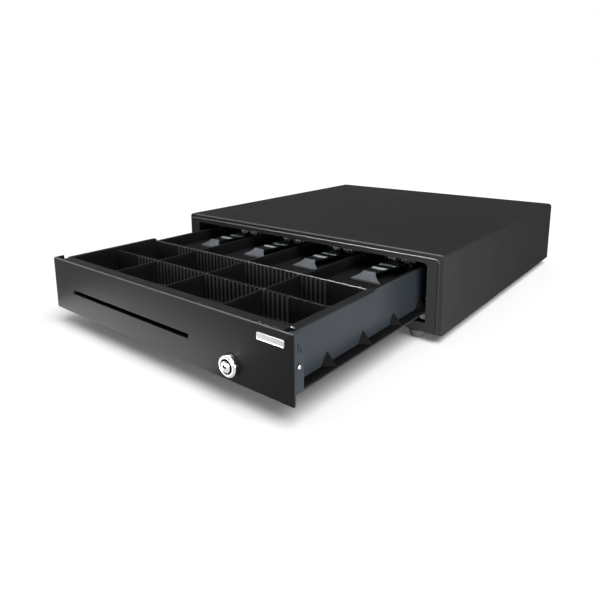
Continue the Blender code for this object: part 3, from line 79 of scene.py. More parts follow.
def make_camera():
    ahead = Vector((math.sin(YAW) * math.cos(PITCH), math.cos(YAW) * math.cos(PITCH), -math.sin(PITCH)))
    level_right = Vector((math.cos(YAW), -math.sin(YAW), 0))
    level_down = ahead.cross(level_right)
    cosine, sine = math.cos(ROLL), math.sin(ROLL)
    right = level_right * cosine + level_down * sine
    down = level_down * cosine - level_right * sine
    data = bpy.data.cameras.new("camera")
    data.sensor_width = SENSOR_WIDTH
    data.lens = SENSOR_WIDTH * FOCAL_PIXELS / IMAGE_SIZE
    data.shift_y = (CENTRE_ROW - IMAGE_SIZE / 2) / IMAGE_SIZE
    data.clip_start = NEAR_CLIP
    camera = bpy.data.objects.new("camera", data)
    turn = Matrix((right, -down, -ahead)).transposed().to_4x4()
    camera.matrix_world = Matrix.Translation(Vector(CAMERA_PLACE) * MM) @ turn
    scene.collection.objects.link(camera)
    scene.camera = camera


# Materials

MOTTLE_DETAIL, GRAIN_DETAIL = 4, 3
MOTTLE_ENDS, GRAIN_ENDS = (0.35, 0.65), (0.3, 0.7)
BUMP_STRENGTH = 0.6


def combine(tree, operation, first, second):
    """The outcome of a sum on two sockets of a node tree."""
    made = tree.nodes.new("ShaderNodeMath")
    made.operation = operation
    tree.links.new(first, made.inputs[0])
    tree.links.new(second, made.inputs[1])
    return made.outputs["Value"]


def new_material(name):
    made = bpy.data.materials.new(name)
    made.use_nodes = True
    tree = made.node_tree
    return made, tree, tree.nodes["Principled BSDF"]


def noise(tree, scale, detail, stretch):
    """Noise in the object's own metres, scale being features per metre."""
    place = tree.nodes.new("ShaderNodeTexCoord")
    mapping = tree.nodes.new("ShaderNodeMapping")
    mapping.inputs["Scale"].default_value = stretch
    tree.links.new(place.outputs["Object"], mapping.inputs["Vector"])
    made = tree.nodes.new("ShaderNodeTexNoise")
    made.inputs["Scale"].default_value = scale
    made.inputs["Detail"].default_value = detail
    tree.links.new(mapping.outputs["Vector"], made.inputs["Vector"])
    return made.outputs["Fac"]


def ramp(tree, value, *colours):
    """Two colours mixed by a value."""
    made = tree.nodes.new("ShaderNodeValToRGB")
    for element, position, colour in zip(made.color_ramp.elements, MOTTLE_ENDS, colours):
        element.position = position
        element.color = (*colour, 1)
    tree.links.new(value, made.inputs["Fac"])
    return made.outputs["Color"]


def spread(tree, value, low, high):
    """The usual reach of a noise spread between two numbers."""
    made = tree.nodes.new("ShaderNodeMapRange")
    for socket, number in zip(("From Min", "From Max", "To Min", "To Max"), (*GRAIN_ENDS, low, high)):
        made.inputs[socket].default_value = number
    tree.links.new(value, made.inputs["Value"])
    return made.outputs["Result"]


def bump(tree, shader, height, depth):
    made = tree.nodes.new("ShaderNodeBump")
    made.inputs["Strength"].default_value = BUMP_STRENGTH
    made.inputs["Distance"].default_value = depth
    tree.links.new(height, made.inputs["Height"])
    tree.links.new(made.outputs["Normal"], shader.inputs["Normal"])


def finish(name, colours, rough, grain, depth, specular=0.5, mottle=18, metallic=0.0, stretch=(1, 1, 1)):
    """A surface mottled between two colours, with a fine grain in its gloss and its relief."""
    made, tree, shader = new_material(name)
    patches = noise(tree, mottle, MOTTLE_DETAIL, stretch)
    tree.links.new(ramp(tree, patches, *colours), shader.inputs["Base Color"])
    fine = noise(tree, grain, GRAIN_DETAIL, stretch)
    tree.links.new(spread(tree, fine, *rough), shader.inputs["Roughness"])
    bump(tree, shader, fine, depth)
    shader.inputs["Metallic"].default_value = metallic
    shader.inputs["Specular IOR Level"].default_value = specular
    return made


def greys(low, high, tint=(1, 1, 1)):
    """Two greys, or two levels of a tint."""
    return [tuple(level * t for t in tint) for level in (low, high)]


PAD_REFLECTION_TINT, COOL = (0.93, 1.0, 1.09), (0.97, 1, 1.03)
PAN_BLUES = ((0.0118, 0.0148, 0.018), (0.0145, 0.0175, 0.021))
TREAD_REFLECTION_BLUES = ((0.3, 0.35, 0.37), (0.38, 0.44, 0.46))
WIRE_BLUES = ((0.22, 0.27, 0.29), (0.3, 0.36, 0.38))
COPPERS = ((0.3, 0.1, 0.04), (0.4, 0.15, 0.07))
BRUSHED = (1, 30, 30)
# Each finish: name, colours, roughness, grain per metre, depth of relief and specular level
MATERIALS = {
    "case": finish("powder_coat_case", greys(0.0195, 0.0215), (0.55, 0.7), 1400, 0.00006, 0.004),
    # Case edge: darker and glossier than the case paint, for painted highlight lines on up-facing rounds
    "case_edge": finish("powder_coat_case_edge_highlight", greys(0.014, 0.017), (0.4, 0.48), 1400, 0.00002, 0.24),
    "front": finish("powder_coat_front", greys(0.0022, 0.0028), (0.4, 0.5), 1500, 0.00005, 0.085),
    # Front edge: lighter and glossier than the front paint, for painted highlight lines on up-facing rounds
    "front_edge": finish("powder_coat_front_edge_highlight", greys(0.009, 0.013), (0.24, 0.3), 1500, 0.00002, 0.3),
    "pan": finish("smooth_paint_pan", PAN_BLUES, (0.3, 0.4), 2200, 0.00001, 0.16),
    "tray": finish("moulded_tray", greys(0.008, 0.01), (0.42, 0.56), 2600, 0.00004, 0.012),
    # Rib fronts: a lighter copy of the tray plastic, painted light on the rib fronts against the shaded gaps
    "tray_rib_painted_light": finish("moulded_tray_rib_painted_light", greys(0.022, 0.029), (0.38, 0.5), 2600, 0.00004, 0.15),
    # Tray edge: lighter and glossier than the tray, for painted highlight lines on up-facing rounds
    "tray_edge": finish("moulded_tray_edge_highlight", greys(0.012, 0.018), (0.26, 0.36), 2600, 0.00001, 0.6),
    "clip": finish("moulded_clip", greys(0.007, 0.009), (0.22, 0.32), 1800, 0.00002, 0.25),
    # Pads: a bluish grey with almost no gloss, painted reflection on the tilted top of the clip
    "pad": finish("clip_pad_painted_reflection", greys(0.11, 0.135, PAD_REFLECTION_TINT), (0.6, 0.7), 900, 0.00003, 0.01, mottle=120),
    # Treads: pale blue, a painted reflection of the bright surroundings on the clip's glossy black plastic
    "tread": finish("clip_tread_painted_reflection", TREAD_REFLECTION_BLUES, (0.3, 0.4), 900, 0.00002, 0.1, mottle=120),
    "rubber": finish("foot_rubber", greys(0.045, 0.055), (0.72, 0.88), 1600, 0.00008, 0.1),
    "zinc": finish("zinc_plate", greys(0.5, 0.6), (0.26, 0.42), 900, 0.00001, mottle=140, metallic=1.0),
    "spring": finish("spring_wire", WIRE_BLUES, (0.36, 0.48), 1500, 0.00001, metallic=0.6),
    "chrome": finish("chrome_plate", greys(0.6, 0.66), (0.05, 0.11), 500, 0.000002, mottle=90, metallic=1.0),
    "silver": finish(
        "satin_plate",
        greys(0.42, 0.48, COOL),
        (0.26, 0.4),
        300,
        0.000004,
        mottle=60,
        metallic=1.0,
        stretch=BRUSHED,
    ),
    "nylon": finish("nylon", greys(0.13, 0.16), (0.38, 0.5), 1600, 0.00002, 0.2),
    "copper": finish("winding", COPPERS, (0.3, 0.42), 900, 0.00001, metallic=1.0),
    "dark": finish("dark_plastic", greys(0.012, 0.018), (0.4, 0.5), 1500, 0.00003, 0.2),
    # Near-black used as painted shade: on the dart faces, the tab ends in the return slots, the lock's groove
    # and wafers and the strips on the flanges
    "shade_black": finish("painted_shade_black", greys(0.002, 0.003), (0.6, 0.8), 900, 0.00002, 0.04),
}


# Geometry helpers, in millimetres until a piece is made

SMOOTH_BELOW = 38
SHARP_ABOVE = 40
ON_AXIS = 1e-6


def piece(name, shape, body, material, replaces=(), sharp=SMOOTH_BELOW):
    """A mesh piece that rides on a body, smooth except over edges sharper than an angle."""
    return mesh_piece(name, to_metres(shape, name), body, material, replaces, sharp)


def mesh_piece(name, mesh, body, material, replaces=(), sharp=SMOOTH_BELOW):
    mesh.polygons.foreach_set("use_smooth", [True] * len(mesh.polygons))
    mesh.set_sharp_from_angle(angle=math.radians(sharp))
    obj = bpy.data.objects.new(name, mesh)
    scene.collection.objects.link(obj)
    obj.data.materials.clear()
    obj.data.materials.append(MATERIALS[material])
    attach(obj, body)
    if replaces:
        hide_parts(*replaces)
    return obj


def to_metres(shape, name):
    """A shape with its normals outward, as a mesh in metres."""
    bmesh.ops.recalc_face_normals(shape, faces=shape.faces)
    bmesh.ops.scale(shape, vec=(MM, MM, MM), verts=shape.verts)
    return to_mesh(shape, name)


def to_mesh(shape, name):
    mesh = bpy.data.meshes.new(name)
    shape.to_mesh(mesh)
    shape.free()
    return mesh


def turns_of(count):
    """Angles spaced evenly round a circle."""
    return [2 * math.pi * n / count for n in range(count)]


def skin(shape, rings, closed=False):
    """Faces between each ring of vertices and the next."""
    for first, second in zip(rings, rings[1:] + rings[:1] if closed else rings[1:]):
        for n in range(len(first)):
            after = (n + 1) % len(first)
            shape.faces.new((first[n], first[after], second[after], second[n]))


def lathe(profile, centre, axis, steps=48, bored=False, shape=None):
    """Points of (radius, height) turned about an axis through a centre."""
    shape = shape or bmesh.new()
    turn = Vector(UP).rotation_difference(Vector(axis)).to_matrix()
    rings = []
    for radius, height in profile:
        turns = turns_of(steps) if radius > ON_AXIS else [0.0]
        local = [Vector((radius * math.cos(a), radius * math.sin(a), height)) for a in turns]
        rings.append([shape.verts.new(Vector(centre) + turn @ p) for p in local])
    pairs = list(zip(rings, rings[1:])) + ([(rings[-1], rings[0])] if bored else [])
    for first, second in pairs:
        for n in range(steps):
            corners = [first[n % len(first)], first[(n + 1) % len(first)]]
            corners += [second[(n + 1) % len(second)], second[n % len(second)]]
            corners = list(dict.fromkeys(corners))
            if len(corners) > 2:
                shape.faces.new(corners)
    return shape


def bevel_edges(shape, edges, width, segments=3):
    bmesh.ops.bevel(
        shape, geom=edges, offset=width, segments=segments, profile=0.5, affect="EDGES", clamp_overlap=True
    )


def block(low, high, width, segments=3, shape=None):
    """A box with all its edges rounded."""
    made = bmesh.new()
    low, high = Vector(low), Vector(high)
    place = Matrix.Translation((low + high) / 2) @ Matrix.Diagonal((*(high - low), 1))
    bmesh.ops.create_cube(made, size=1, matrix=place)
    bevel_edges(made, made.edges[:], width, segments)
    return merge(shape, made)


def from_place(place, offsets):
    """Corners given by their offsets from a place."""
    return [tuple(p + d for p, d in zip(place, offset)) for offset in offsets]


def merge(shape, extra):
    """Adds one shape to another and returns the sum."""
    if shape is None:
        return extra
    held = to_mesh(extra, "held")
    shape.from_mesh(held)
    bpy.data.meshes.remove(held)
    return shape


def slab(outline, low, high, normal, width=0.0, shape=None):
    """A flat outline swept along an axis with its edges rounded. Points are (x, y), (x, z) or (y, z)."""
    made = bmesh.new()
    order = {"Z": (0, 1, 2), "Y": (0, 2, 1), "X": (1, 2, 0)}[normal]

    def corner(u, v, w):
        place = [0, 0, 0]
        for axis, value in zip(order, (u, v, w)):
            place[axis] = value
        return made.verts.new(place)

    bottom, top = ([corner(u, v, end) for u, v in outline] for end in (low, high))
    made.faces.new(bottom)
    made.faces.new(top)
    skin(made, [bottom, top])
    bmesh.ops.recalc_face_normals(made, faces=made.faces)
    if width:
        sharp = [e for e in made.edges if e.calc_face_angle(0) > math.radians(SHARP_ABOVE)]
        bevel_edges(made, sharp, width, segments=2)
    return merge(shape, made)


def arc(centre, radius, start, end, steps):
    turns = [math.radians(start + (end - start) * n / steps) for n in range(steps + 1)]
    return [(centre[0] + radius * math.cos(t), centre[1] + radius * math.sin(t)) for t in turns]


def rounded_rectangle(low, high, radius, steps=6):
    (left, bottom), (right, top) = low, high
    outline = []
    for x, y, start in (
        (right - radius, top - radius, 0),
        (left + radius, top - radius, 90),
        (left + radius, bottom + radius, 180),
        (right - radius, bottom + radius, 270),
    ):
        outline += arc((x, y), radius, start, start + 90, steps)
    return outline


def tube(points, radius, sides):
    """A round wire along a list of points, with closed ends."""
    shape = bmesh.new()
    points = [Vector(p) for p in points]
    ways = []
    for n in range(len(points)):
        ways.append((points[min(n + 1, len(points) - 1)] - points[max(n - 1, 0)]).normalized())
    across = ways[0].orthogonal().normalized()
    rings = []
    for point, way in zip(points, ways):
        across = (across - way * across.dot(way)).normalized()
        other = way.cross(across)
        ring = [point + radius * (across * math.cos(a) + other * math.sin(a)) for a in turns_of(sides)]
        rings.append([shape.verts.new(p) for p in ring])
    skin(shape, rings)
    shape.faces.new(rings[0][::-1])
    shape.faces.new(rings[-1])
    return shape


def loft(sections, shape=None):
    """A closed solid through cross-sections that all have the same number of points."""
    shape = shape or bmesh.new()
    rings = [[shape.verts.new(p) for p in section] for section in sections]
    skin(shape, rings)
    shape.faces.new(rings[0])
    shape.faces.new(rings[-1])
    return shape


def carved(shape, *cutters):
    """A shape with others cut out of it, as a new mesh in metres."""
    held = []
    for made in (shape, *cutters):
        obj = bpy.data.objects.new("carving", to_metres(made, "carving"))
        scene.collection.objects.link(obj)
        held.append(obj)
    for cutter in held[1:]:
        modifier = held[0].modifiers.new("Cut", "BOOLEAN")
        modifier.operation = "DIFFERENCE"
        modifier.object = cutter
        modifier.solver = "EXACT"
    bpy.context.view_layer.update()
    mesh = bpy.data.meshes.new_from_object(held[0].evaluated_get(bpy.context.evaluated_depsgraph_get()))
    for obj in held:
        bpy.data.objects.remove(obj, do_unlink=True)
    return mesh


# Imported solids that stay, by their finish and the size of their softened edges

RUNNING_GEAR = ("runner", "front_roller_pin", "rear_roller_pin")
KEPT = {
    "case": (0.5, ("case_shell", "base_plate")),
    "front": (0.5, ("drawer_front",)),
    "pan": (0.25, ("drawer_pan",)),
    "tray": (0.3, ("coin_tray", "note_tray", *(f"coin_divider_{n}" for n in DIVIDERS))),
    "rubber": (0.4, ("stop_bumper",)),
    "zinc": (
        0.2,
        (
            "lock_nut",
            "lock_cam",
            "latch_bracket",
            "latch_lever",
            "latch_pivot_pin",
            "solenoid_plunger",
            "striker",
            *(f"{name}_{side}" for side, _ in SIDES for name in RUNNING_GEAR),
            *(f"note_clip_pin_{n}" for n in CLIPS),
        ),
    ),
}
WELD_DISTANCE = 0.00001
FLAT_BELOW = 0.5
# Slots of the finishes on a imported solid: plain, edge (painted highlight lines on up-facing rounds) and panel
PLAIN, EDGE_HIGHLIGHT, PANEL = 0, 1, 2
# How near a face lies to a plane that it is chosen by
PLANE_DEPTH = 0.6


def face_painter(name, index, planes=(), reach=0.0, **ranges):
    """A node group that gives a finish to faces whose normals have shares of X, Y and Z in given ranges.

    Up is Z with its sign. Planes across the drawer, and a reach to either side of its middle, narrow the
    choice.
    """
    tree = bpy.data.node_groups.new(name, "GeometryNodeTree")
    for way in ("INPUT", "OUTPUT"):
        tree.interface.new_socket("Geometry", in_out=way, socket_type="NodeSocketGeometry")
    source, sink = tree.nodes.new("NodeGroupInput"), tree.nodes.new("NodeGroupOutput")

    def parts_of(vector):
        parts = tree.nodes.new("ShaderNodeSeparateXYZ")
        tree.links.new(vector, parts.inputs[0])
        return parts.outputs

    def within(value, low, high):
        compare = tree.nodes.new("ShaderNodeMath")
        compare.operation = "COMPARE"
        compare.inputs[1].default_value = (low + high) / 2
        compare.inputs[2].default_value = (high - low) / 2
        tree.links.new(value, compare.inputs[0])
        return compare.outputs["Value"]

    normal = tree.nodes.new("GeometryNodeInputNormal").outputs["True Normal"]
    size = tree.nodes.new("ShaderNodeVectorMath")
    size.operation = "ABSOLUTE"
    tree.links.new(normal, size.inputs[0])
    shares, facing = parts_of(size.outputs["Vector"]), parts_of(normal)
    tests = [within(facing["Z"] if axis == "Up" else shares[axis], *ends) for axis, ends in ranges.items()]
    if planes:
        place = parts_of(tree.nodes.new("GeometryNodeInputPosition").outputs["Position"])
        depths = [((plane - PLANE_DEPTH) * MM, (plane + PLANE_DEPTH) * MM) for plane in planes]
        near = [within(place["Y"], *ends) for ends in depths]
        tests.append(reduce(partial(combine, tree, "MAXIMUM"), near))
        tests.append(within(place["X"], -reach * MM, reach * MM))
    chosen = reduce(partial(combine, tree, "MULTIPLY"), tests)
    paint = tree.nodes.new("GeometryNodeSetMaterialIndex")
    paint.inputs["Material Index"].default_value = index
    tree.links.new(source.outputs["Geometry"], paint.inputs["Geometry"])
    tree.links.new(chosen, paint.inputs["Selection"])
    tree.links.new(paint.outputs["Geometry"], sink.inputs["Geometry"])
    return tree


# The coin tray's walls and the ribs on them, from the tray's front
TRAY_FRONT = span("coin_tray")[0].y
RIB_FRONTS = [TRAY_FRONT + y for y in (11.95, 66.65, 72.05, 126.75)]
WALL_FRONTS = [TRAY_FRONT + y for y in (10.35, 68.15, 70.55, 128.25)]
RIB_REACH = 118.6
# Rounds that run across the drawer and face up get the edge finish, a glossier copy of the paint with its own
# tone, which paints highlight lines along them; rounds facing other ways keep the plain finish
ROUND = {"X": (0, 0.3), "Y": (0.15, 0.985), "Up": (0.15, 0.985)}
SQUARE, SLANTED = (0.95, 1.05), (0, 0.95)
CROSS_ROUND_HIGHLIGHTS = face_painter("cross_round_highlights", EDGE_HIGHLIGHT, **ROUND)
# Rounds in the gaps between the ribs go back to the plain finish: painted shade, with no highlight in the gaps
RIB_GAPS_UNLIT = face_painter("rib_gaps_unlit", PLAIN, WALL_FRONTS, RIB_REACH, **ROUND)
PANELS = {
    "drawer_front": ("pan", face_painter("front_returns", PANEL, X=SQUARE)),
    # Coin tray: the rib fronts get the lighter rib finish, painted light
    "coin_tray": ("tray_rib_painted_light", face_painter("tray_ribs_painted_light", PANEL, RIB_FRONTS, RIB_REACH, Y=SQUARE)),
    # Drawer pan: the slanted faces of the pressed darts get the deep black, painted shade on them
    "drawer_pan": ("shade_black", face_painter("pan_gussets_painted_shade", PANEL, X=SLANTED, Y=SLANTED, Z=SLANTED)),
}


def soften(obj, width):
    """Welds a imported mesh, rounds its sharp edges and weights its normals, all as modifiers."""
    obj.data.polygons.foreach_set("use_smooth", [True] * len(obj.data.polygons))
    weld = obj.modifiers.new("Weld", "WELD")
    weld.merge_threshold = WELD_DISTANCE
    flat = obj.modifiers.new("Flat faces", "DECIMATE")
    flat.decimate_type = "DISSOLVE"
    flat.angle_limit = math.radians(FLAT_BELOW)
    if obj.name in PANELS:
        obj.modifiers.new("Panels", "NODES").node_group = PANELS[obj.name][1]
    edges = obj.modifiers.new("Edges", "BEVEL")
    edges.width = width * MM
    edges.segments = 3
    edges.limit_method = "ANGLE"
    edges.angle_limit = math.radians(SMOOTH_BELOW)
    obj.modifiers.new("Rounds", "NODES").node_group = CROSS_ROUND_HIGHLIGHTS
    # The coin tray's rib gaps lose the edge finish, painted shade between the ribs
    if obj.name == "coin_tray":
        obj.modifiers.new("Rib gaps unlit", "NODES").node_group = RIB_GAPS_UNLIT
    obj.modifiers.new("Normals", "WEIGHTED_NORMAL")


def dress_packed_nodes():
    for material, (width, names) in KEPT.items():
        for name in names:
            nodes[name].data.materials.clear()
            panel = PANELS[name][0] if name in PANELS else material
            # The edge finish paints highlight lines on the rounds that the round painter picks
            for surface in (material, f"{material}_edge", panel):
                nodes[name].data.materials.append(MATERIALS.get(surface, MATERIALS[material]))
            soften(nodes[name], width)


# Screws, each with the radius of its head, the head's height and the reach of its recess

FOOT_SCREW, CASE_SCREW = (3.0, 1.6, 1.7), (3.1, 1.3, 1.7)
FRONT_SCREW, BRACKET_SCREW = (1.95, 0.55, 1.25), (2.4, 1.1, 1.4)
DOME_TURNS = (0, 0.35, 0.7, 1.05, 1.35)
# Shares of a head's height below its dome and its recess, and of the recess's reach in the width of an arm
DOME_START, RECESS_FLOOR, RECESS_ARM = 0.35, 0.35, 0.17


def screw_mesh(head, height, recess):
    """A pan-headed screw's head with a cross recess, its seat at the origin and its top along +Z."""
    rise = [(head * math.cos(t), height * (DOME_START + (1 - DOME_START) * math.sin(t))) for t in DOME_TURNS]
    profile = [(0, 0), (head * 0.97, 0), (head, height * 0.06), *rise, (0, height)]
    dome = lathe(profile, (0, 0, 0), UP, steps=40)
    arm, deep, clear = recess * RECESS_ARM, height * RECESS_FLOOR, 3 * height
    across = block((-recess, -arm, deep), (recess, arm, clear), arm * 0.5, segments=2)
    along = block((-arm, -recess, deep), (arm, recess, clear), arm * 0.5, segments=2)
    return carved(dome, across, along)


def screw(name, master, place, axis, body, turn, replaces=()):
    """A copy of a screw's head set on a place and turned about its own axis."""
    mesh = master.copy()
    way = Vector(UP).rotation_difference(Vector(axis)).to_matrix().to_4x4()
    spin = Matrix.Rotation(turn, 4, "Z")
    mesh.transform(Matrix.Translation(Vector(place) * MM) @ way @ spin)
    return mesh_piece(name, mesh, body, "zinc", replaces)


# Feet, grommet and case fastenings

CASE_LOW, CASE_HIGH = span("case_shell")
FRAME_Y, BACK_FACE = CASE_LOW.y, CASE_HIGH.y
# A foot's section, with a well for its screw
WELL_TOP = 2.6
FOOT_PROFILE = (
    (0, WELL_TOP), (3.3, WELL_TOP), (3.3, 0.7), (3.6, 0.2), (4.1, 0), (5.8, 0), (6.8, 0.2), (7.6, 0.75),
    (8.15, 1.6), (8.42, 2.6), (8.95, 4.8), (9.5, 7.0), (9.78, 7.2), (9.88, 7.45), (9.88, 8.45), (9.7, 8.7),
    (0, 8.7),
)
# The grommet's two flanges, each from its own side of the case's back
GROMMET_X, GROMMET_Z = -145, 27
WALL_OUTSIDE, WALL_INSIDE = 0.3, -1.5
OUTER_FLANGE = (
    (4.0, 1.2), (4.2, 1.55), (4.7, 1.7), (7.4, 1.7), (8.3, 1.45), (8.85, 0.95), (9.0, 0.4),
    (8.9, 0), (6.5, 0),
)
INNER_FLANGE = ((6.5, 0), (8.9, 0), (9.0, -0.4), (8.8, -1.3), (8.3, -1.7), (4.6, -1.7), (4.0, -1.2))
BEAD_INSET, BEAD_TOP_INSET, BEAD_RISE = 6.15, 5.65, 2.15
BEAD_RADIUS, BEAD_CORNER, BEAD_SINK = 1.1, 4.4, 0.25
BEAD_SIDES, BEAD_CORNER_STEPS = 16, 10
BEAD_LIT_DEPTH = 3.2
BACK_SCREWS = ((-196, 18), (-65, 18), (65, 18), (196, 18), (-196, 91), (196, 91))
BASE_SCREWS = [(x, y) for x in (-120, 0, 120) for y in (FRAME_Y + 22, BACK_FACE - 23)]


def make_feet():
    master = screw_mesh(*FOOT_SCREW)
    for row in ("front", "back"):
        for side, sign in SIDES:
            foot = f"foot_{row}_{side}"
            place = middle(foot)
            place.z = 0
            shape = lathe(FOOT_PROFILE, place, UP, steps=56)
            piece(f"{foot}_rubber", shape, "cabinet", "rubber", (foot,))
            seat = place + Vector((0, 0, WELL_TOP))
            screw(f"{foot}_screw", master, seat, DOWN, "cabinet", turn=0.4 + sign * 0.3)


def make_grommet():
    profile = [(r, WALL_OUTSIDE + h) for r, h in OUTER_FLANGE]
    profile += [(r, WALL_INSIDE + h) for r, h in INNER_FLANGE]
    shape = lathe(profile, (GROMMET_X, BACK_FACE, GROMMET_Z), BACK, steps=56, bored=True)
    piece("cable_grommet_rubber", shape, "cabinet", "rubber", ("cable_grommet",))


def make_frame_bead():
    """The rolled outer edge of the frame plate round the mouth of the case."""
    low = (CASE_LOW.x + BEAD_INSET, CASE_LOW.z + BEAD_RISE)
    high = (CASE_HIGH.x - BEAD_INSET, CASE_HIGH.z - BEAD_TOP_INSET)
    outline = rounded_rectangle(low, high, BEAD_CORNER, BEAD_CORNER_STEPS)
    path = [Vector((x, FRAME_Y + BEAD_SINK, z)) for x, z in outline]
    back = Vector(BACK)
    shape = bmesh.new()
    rings = []
    for n, place in enumerate(path):
        across = (path[(n + 1) % len(path)] - path[n - 1]).normalized().cross(back)
        ways = [across * math.cos(a) + back * math.sin(a) for a in turns_of(BEAD_SIDES)]
        rings.append([shape.verts.new(place + BEAD_RADIUS * way) for way in ways])
    skin(shape, rings, closed=True)
    obj = piece("frame_bead", shape, "cabinet", "case", sharp=60)
    # The top run gets the edge finish for a painted highlight line; the sides keep the plain case paint
    obj.data.materials.append(MATERIALS["case_edge"])
    for face in obj.data.polygons:
        face.material_index = int(face.center.z > (high[1] - BEAD_LIT_DEPTH) * MM)


def make_case_screws():
    master = screw_mesh(*CASE_SCREW)
    for n, (x, z) in enumerate(BACK_SCREWS):
        screw(f"back_screw_{n + 1}", master, (x, BACK_FACE, z), BACK, "cabinet", turn=0.5 * n)
    for n, (x, y) in enumerate(BASE_SCREWS):
        screw(f"base_screw_{n + 1}", master, (x, y, CASE_LOW.z), DOWN, "cabinet", turn=0.7 * n)


# Drawer front

FACE_Y = span("drawer_front")[0].y
SIDE_X = 184.2
FRONT_SCREW_PLACE = (FACE_Y + 6.7, 54)
FRONT_WASHER = (
    (1.6, 0.05), (2.05, 0.0), (2.55, 0.0), (2.7, 0.15), (2.65, 0.4), (2.4, 0.58), (2.1, 0.5),
    (1.9, 0.2),
)
SHANK_THREADS, SHANK_PITCH = 8, 0.5
FRONT_SHANK = (
    (0, -4.8), (1.2, -4.8), (1.5, -4.4),
    *(
        (radius, start + SHANK_PITCH * n)
        for n in range(SHANK_THREADS)
        for radius, start in ((1.5, -4.2), (1.25, -3.95))
    ),
    (1.5, -0.2), (1.5, 0.2), (0, 0.2),
)
# Each tab's distance behind the face, with the heights of its ends
RETURN_TABS = ((5.6, 67.5, 73.5), (9.0, 65.0, 69.0))
TAB_HALF, TAB_SINK, TAB_STAND = 0.55, 0.2, 0.14
PLATE_FRONT, PLATE_BACK, PLATE_CORNER = FACE_Y - 1.1, FACE_Y - 0.3, 1.1
PLATE_RIM, PLATE_SLOPE, PLATE_SINK, PLATE_ROUND = 0.65, 0.12, 0.22, 0.14


def make_front_screws():
    """Bright screws set in black washers on the front's side returns."""
    master = screw_mesh(*FRONT_SCREW)
    for side, sign in SIDES:
        place, axis = (sign * (SIDE_X + 0.3), *FRONT_SCREW_PLACE), (sign, 0, 0)
        node = f"front_screw_{side}"
        screw(f"{node}_head", master, place, axis, "drawer", turn=0.5, replaces=(node,))
        ring = lathe(FRONT_WASHER, place, axis, steps=40, bored=True)
        piece(f"{node}_washer", ring, "drawer", "dark")
        shank = lathe(FRONT_SHANK, place, axis, steps=24)
        piece(f"{node}_shank", shank, "drawer", "zinc")


def make_return_tabs():
    """The ends of the pan's tabs in slots near the top of the side returns, in deep black as painted shade of
    the slots.
    """
    for side, sign in SIDES:
        near, far = sorted((sign * (SIDE_X - TAB_SINK), sign * (SIDE_X + TAB_STAND)))
        shape = None
        for behind, low, high in RETURN_TABS:
            y = FACE_Y + behind
            ends = (near, y - TAB_HALF, low), (far, y + TAB_HALF, high)
            shape = block(*ends, width=0.1, segments=2, shape=shape)
        # Deep black: painted shade of the slots
        piece(f"front_tabs_{side}", shape, "drawer", "shade_black")


def make_name_plate():
    """A bare plate with a raised rim round a satin panel."""
    near, far = span("name_plate")
    outline = rounded_rectangle((near.x, near.z), (far.x, far.z), PLATE_CORNER)
    rim = slab(outline, PLATE_FRONT, PLATE_BACK, "Y")
    face = min(rim.faces, key=lambda f: f.calc_center_median().y)
    for thickness in (PLATE_RIM, PLATE_SLOPE):
        bmesh.ops.inset_region(rim, faces=[face], thickness=thickness, use_even_offset=True)
    for vert in face.verts:
        vert.co.y += PLATE_SINK
    ahead = {v for v in rim.verts if abs(v.co.y - PLATE_FRONT) < 0.01}
    outer = [e for e in rim.edges if e.calc_face_angle(0) > 1.0 and ahead.issuperset(e.verts)]
    bevel_edges(rim, outer, PLATE_ROUND, segments=2)
    piece("name_plate_rim", rim, "drawer", "silver", ("name_plate",), sharp=25)


# Lock, with heights measured from the drawer's face towards the back

LOCK_X, _, LOCK_Z = middle("lock_plug")
LOCK_PLACE = (LOCK_X, FACE_Y, LOCK_Z)
PLUG_FRONT = -6.66
BARREL_THREADS = 15
LOCK_BARREL = (
    (6.0, 20.4), (8.0, 20.4), (8.4, 20.0),
    *((radius, start - n) for n in range(BARREL_THREADS) for radius, start in ((8.5, 19.4), (8.2, 18.9))),
    (8.5, 4.2), (8.5, -0.3), (10.0, -0.3), (10.25, -0.55), (10.25, -3.2), (10.18, -3.9), (9.95, -4.5),
    (9.55, -5.0), (9.0, -5.4), (8.4, -5.62), (7.9, -5.68), (7.35, -5.6), (7.0, -5.35), (6.8, -4.9),
    (6.7, -3.4), (6.0, -3.4),
)
LOCK_GROOVE = ((5.14, -3.3), (6.68, -3.3), (6.68, -3.6), (5.5, -3.7), (5.34, -5.6), (5.14, -5.6))
LOCK_PLUG = (
    (0, 20.4), (5.9, 20.4), (5.9, -3.2), (5.1, -3.2), (5.1, -5.7), (5.25, -5.85), (5.2, -6.2),
    (4.9, -6.45), (4.3, -6.58), (2.2, PLUG_FRONT), (0, PLUG_FRONT),
)
# Corners of the keyway, its ward and a wafer, from the plug's front
KEYWAY = ((-3.7, -2, -1.0), (1.6, 7, 1.0))
WARD = ((-2.4, -2, -2.0), (-0.6, 3, 2.0))
WAFER = ((-3.9, 0, -1.2), (1.8, 1.0, 0.9))
WAFER_DEPTHS = [1.4 + 1.3 * n for n in range(4)]


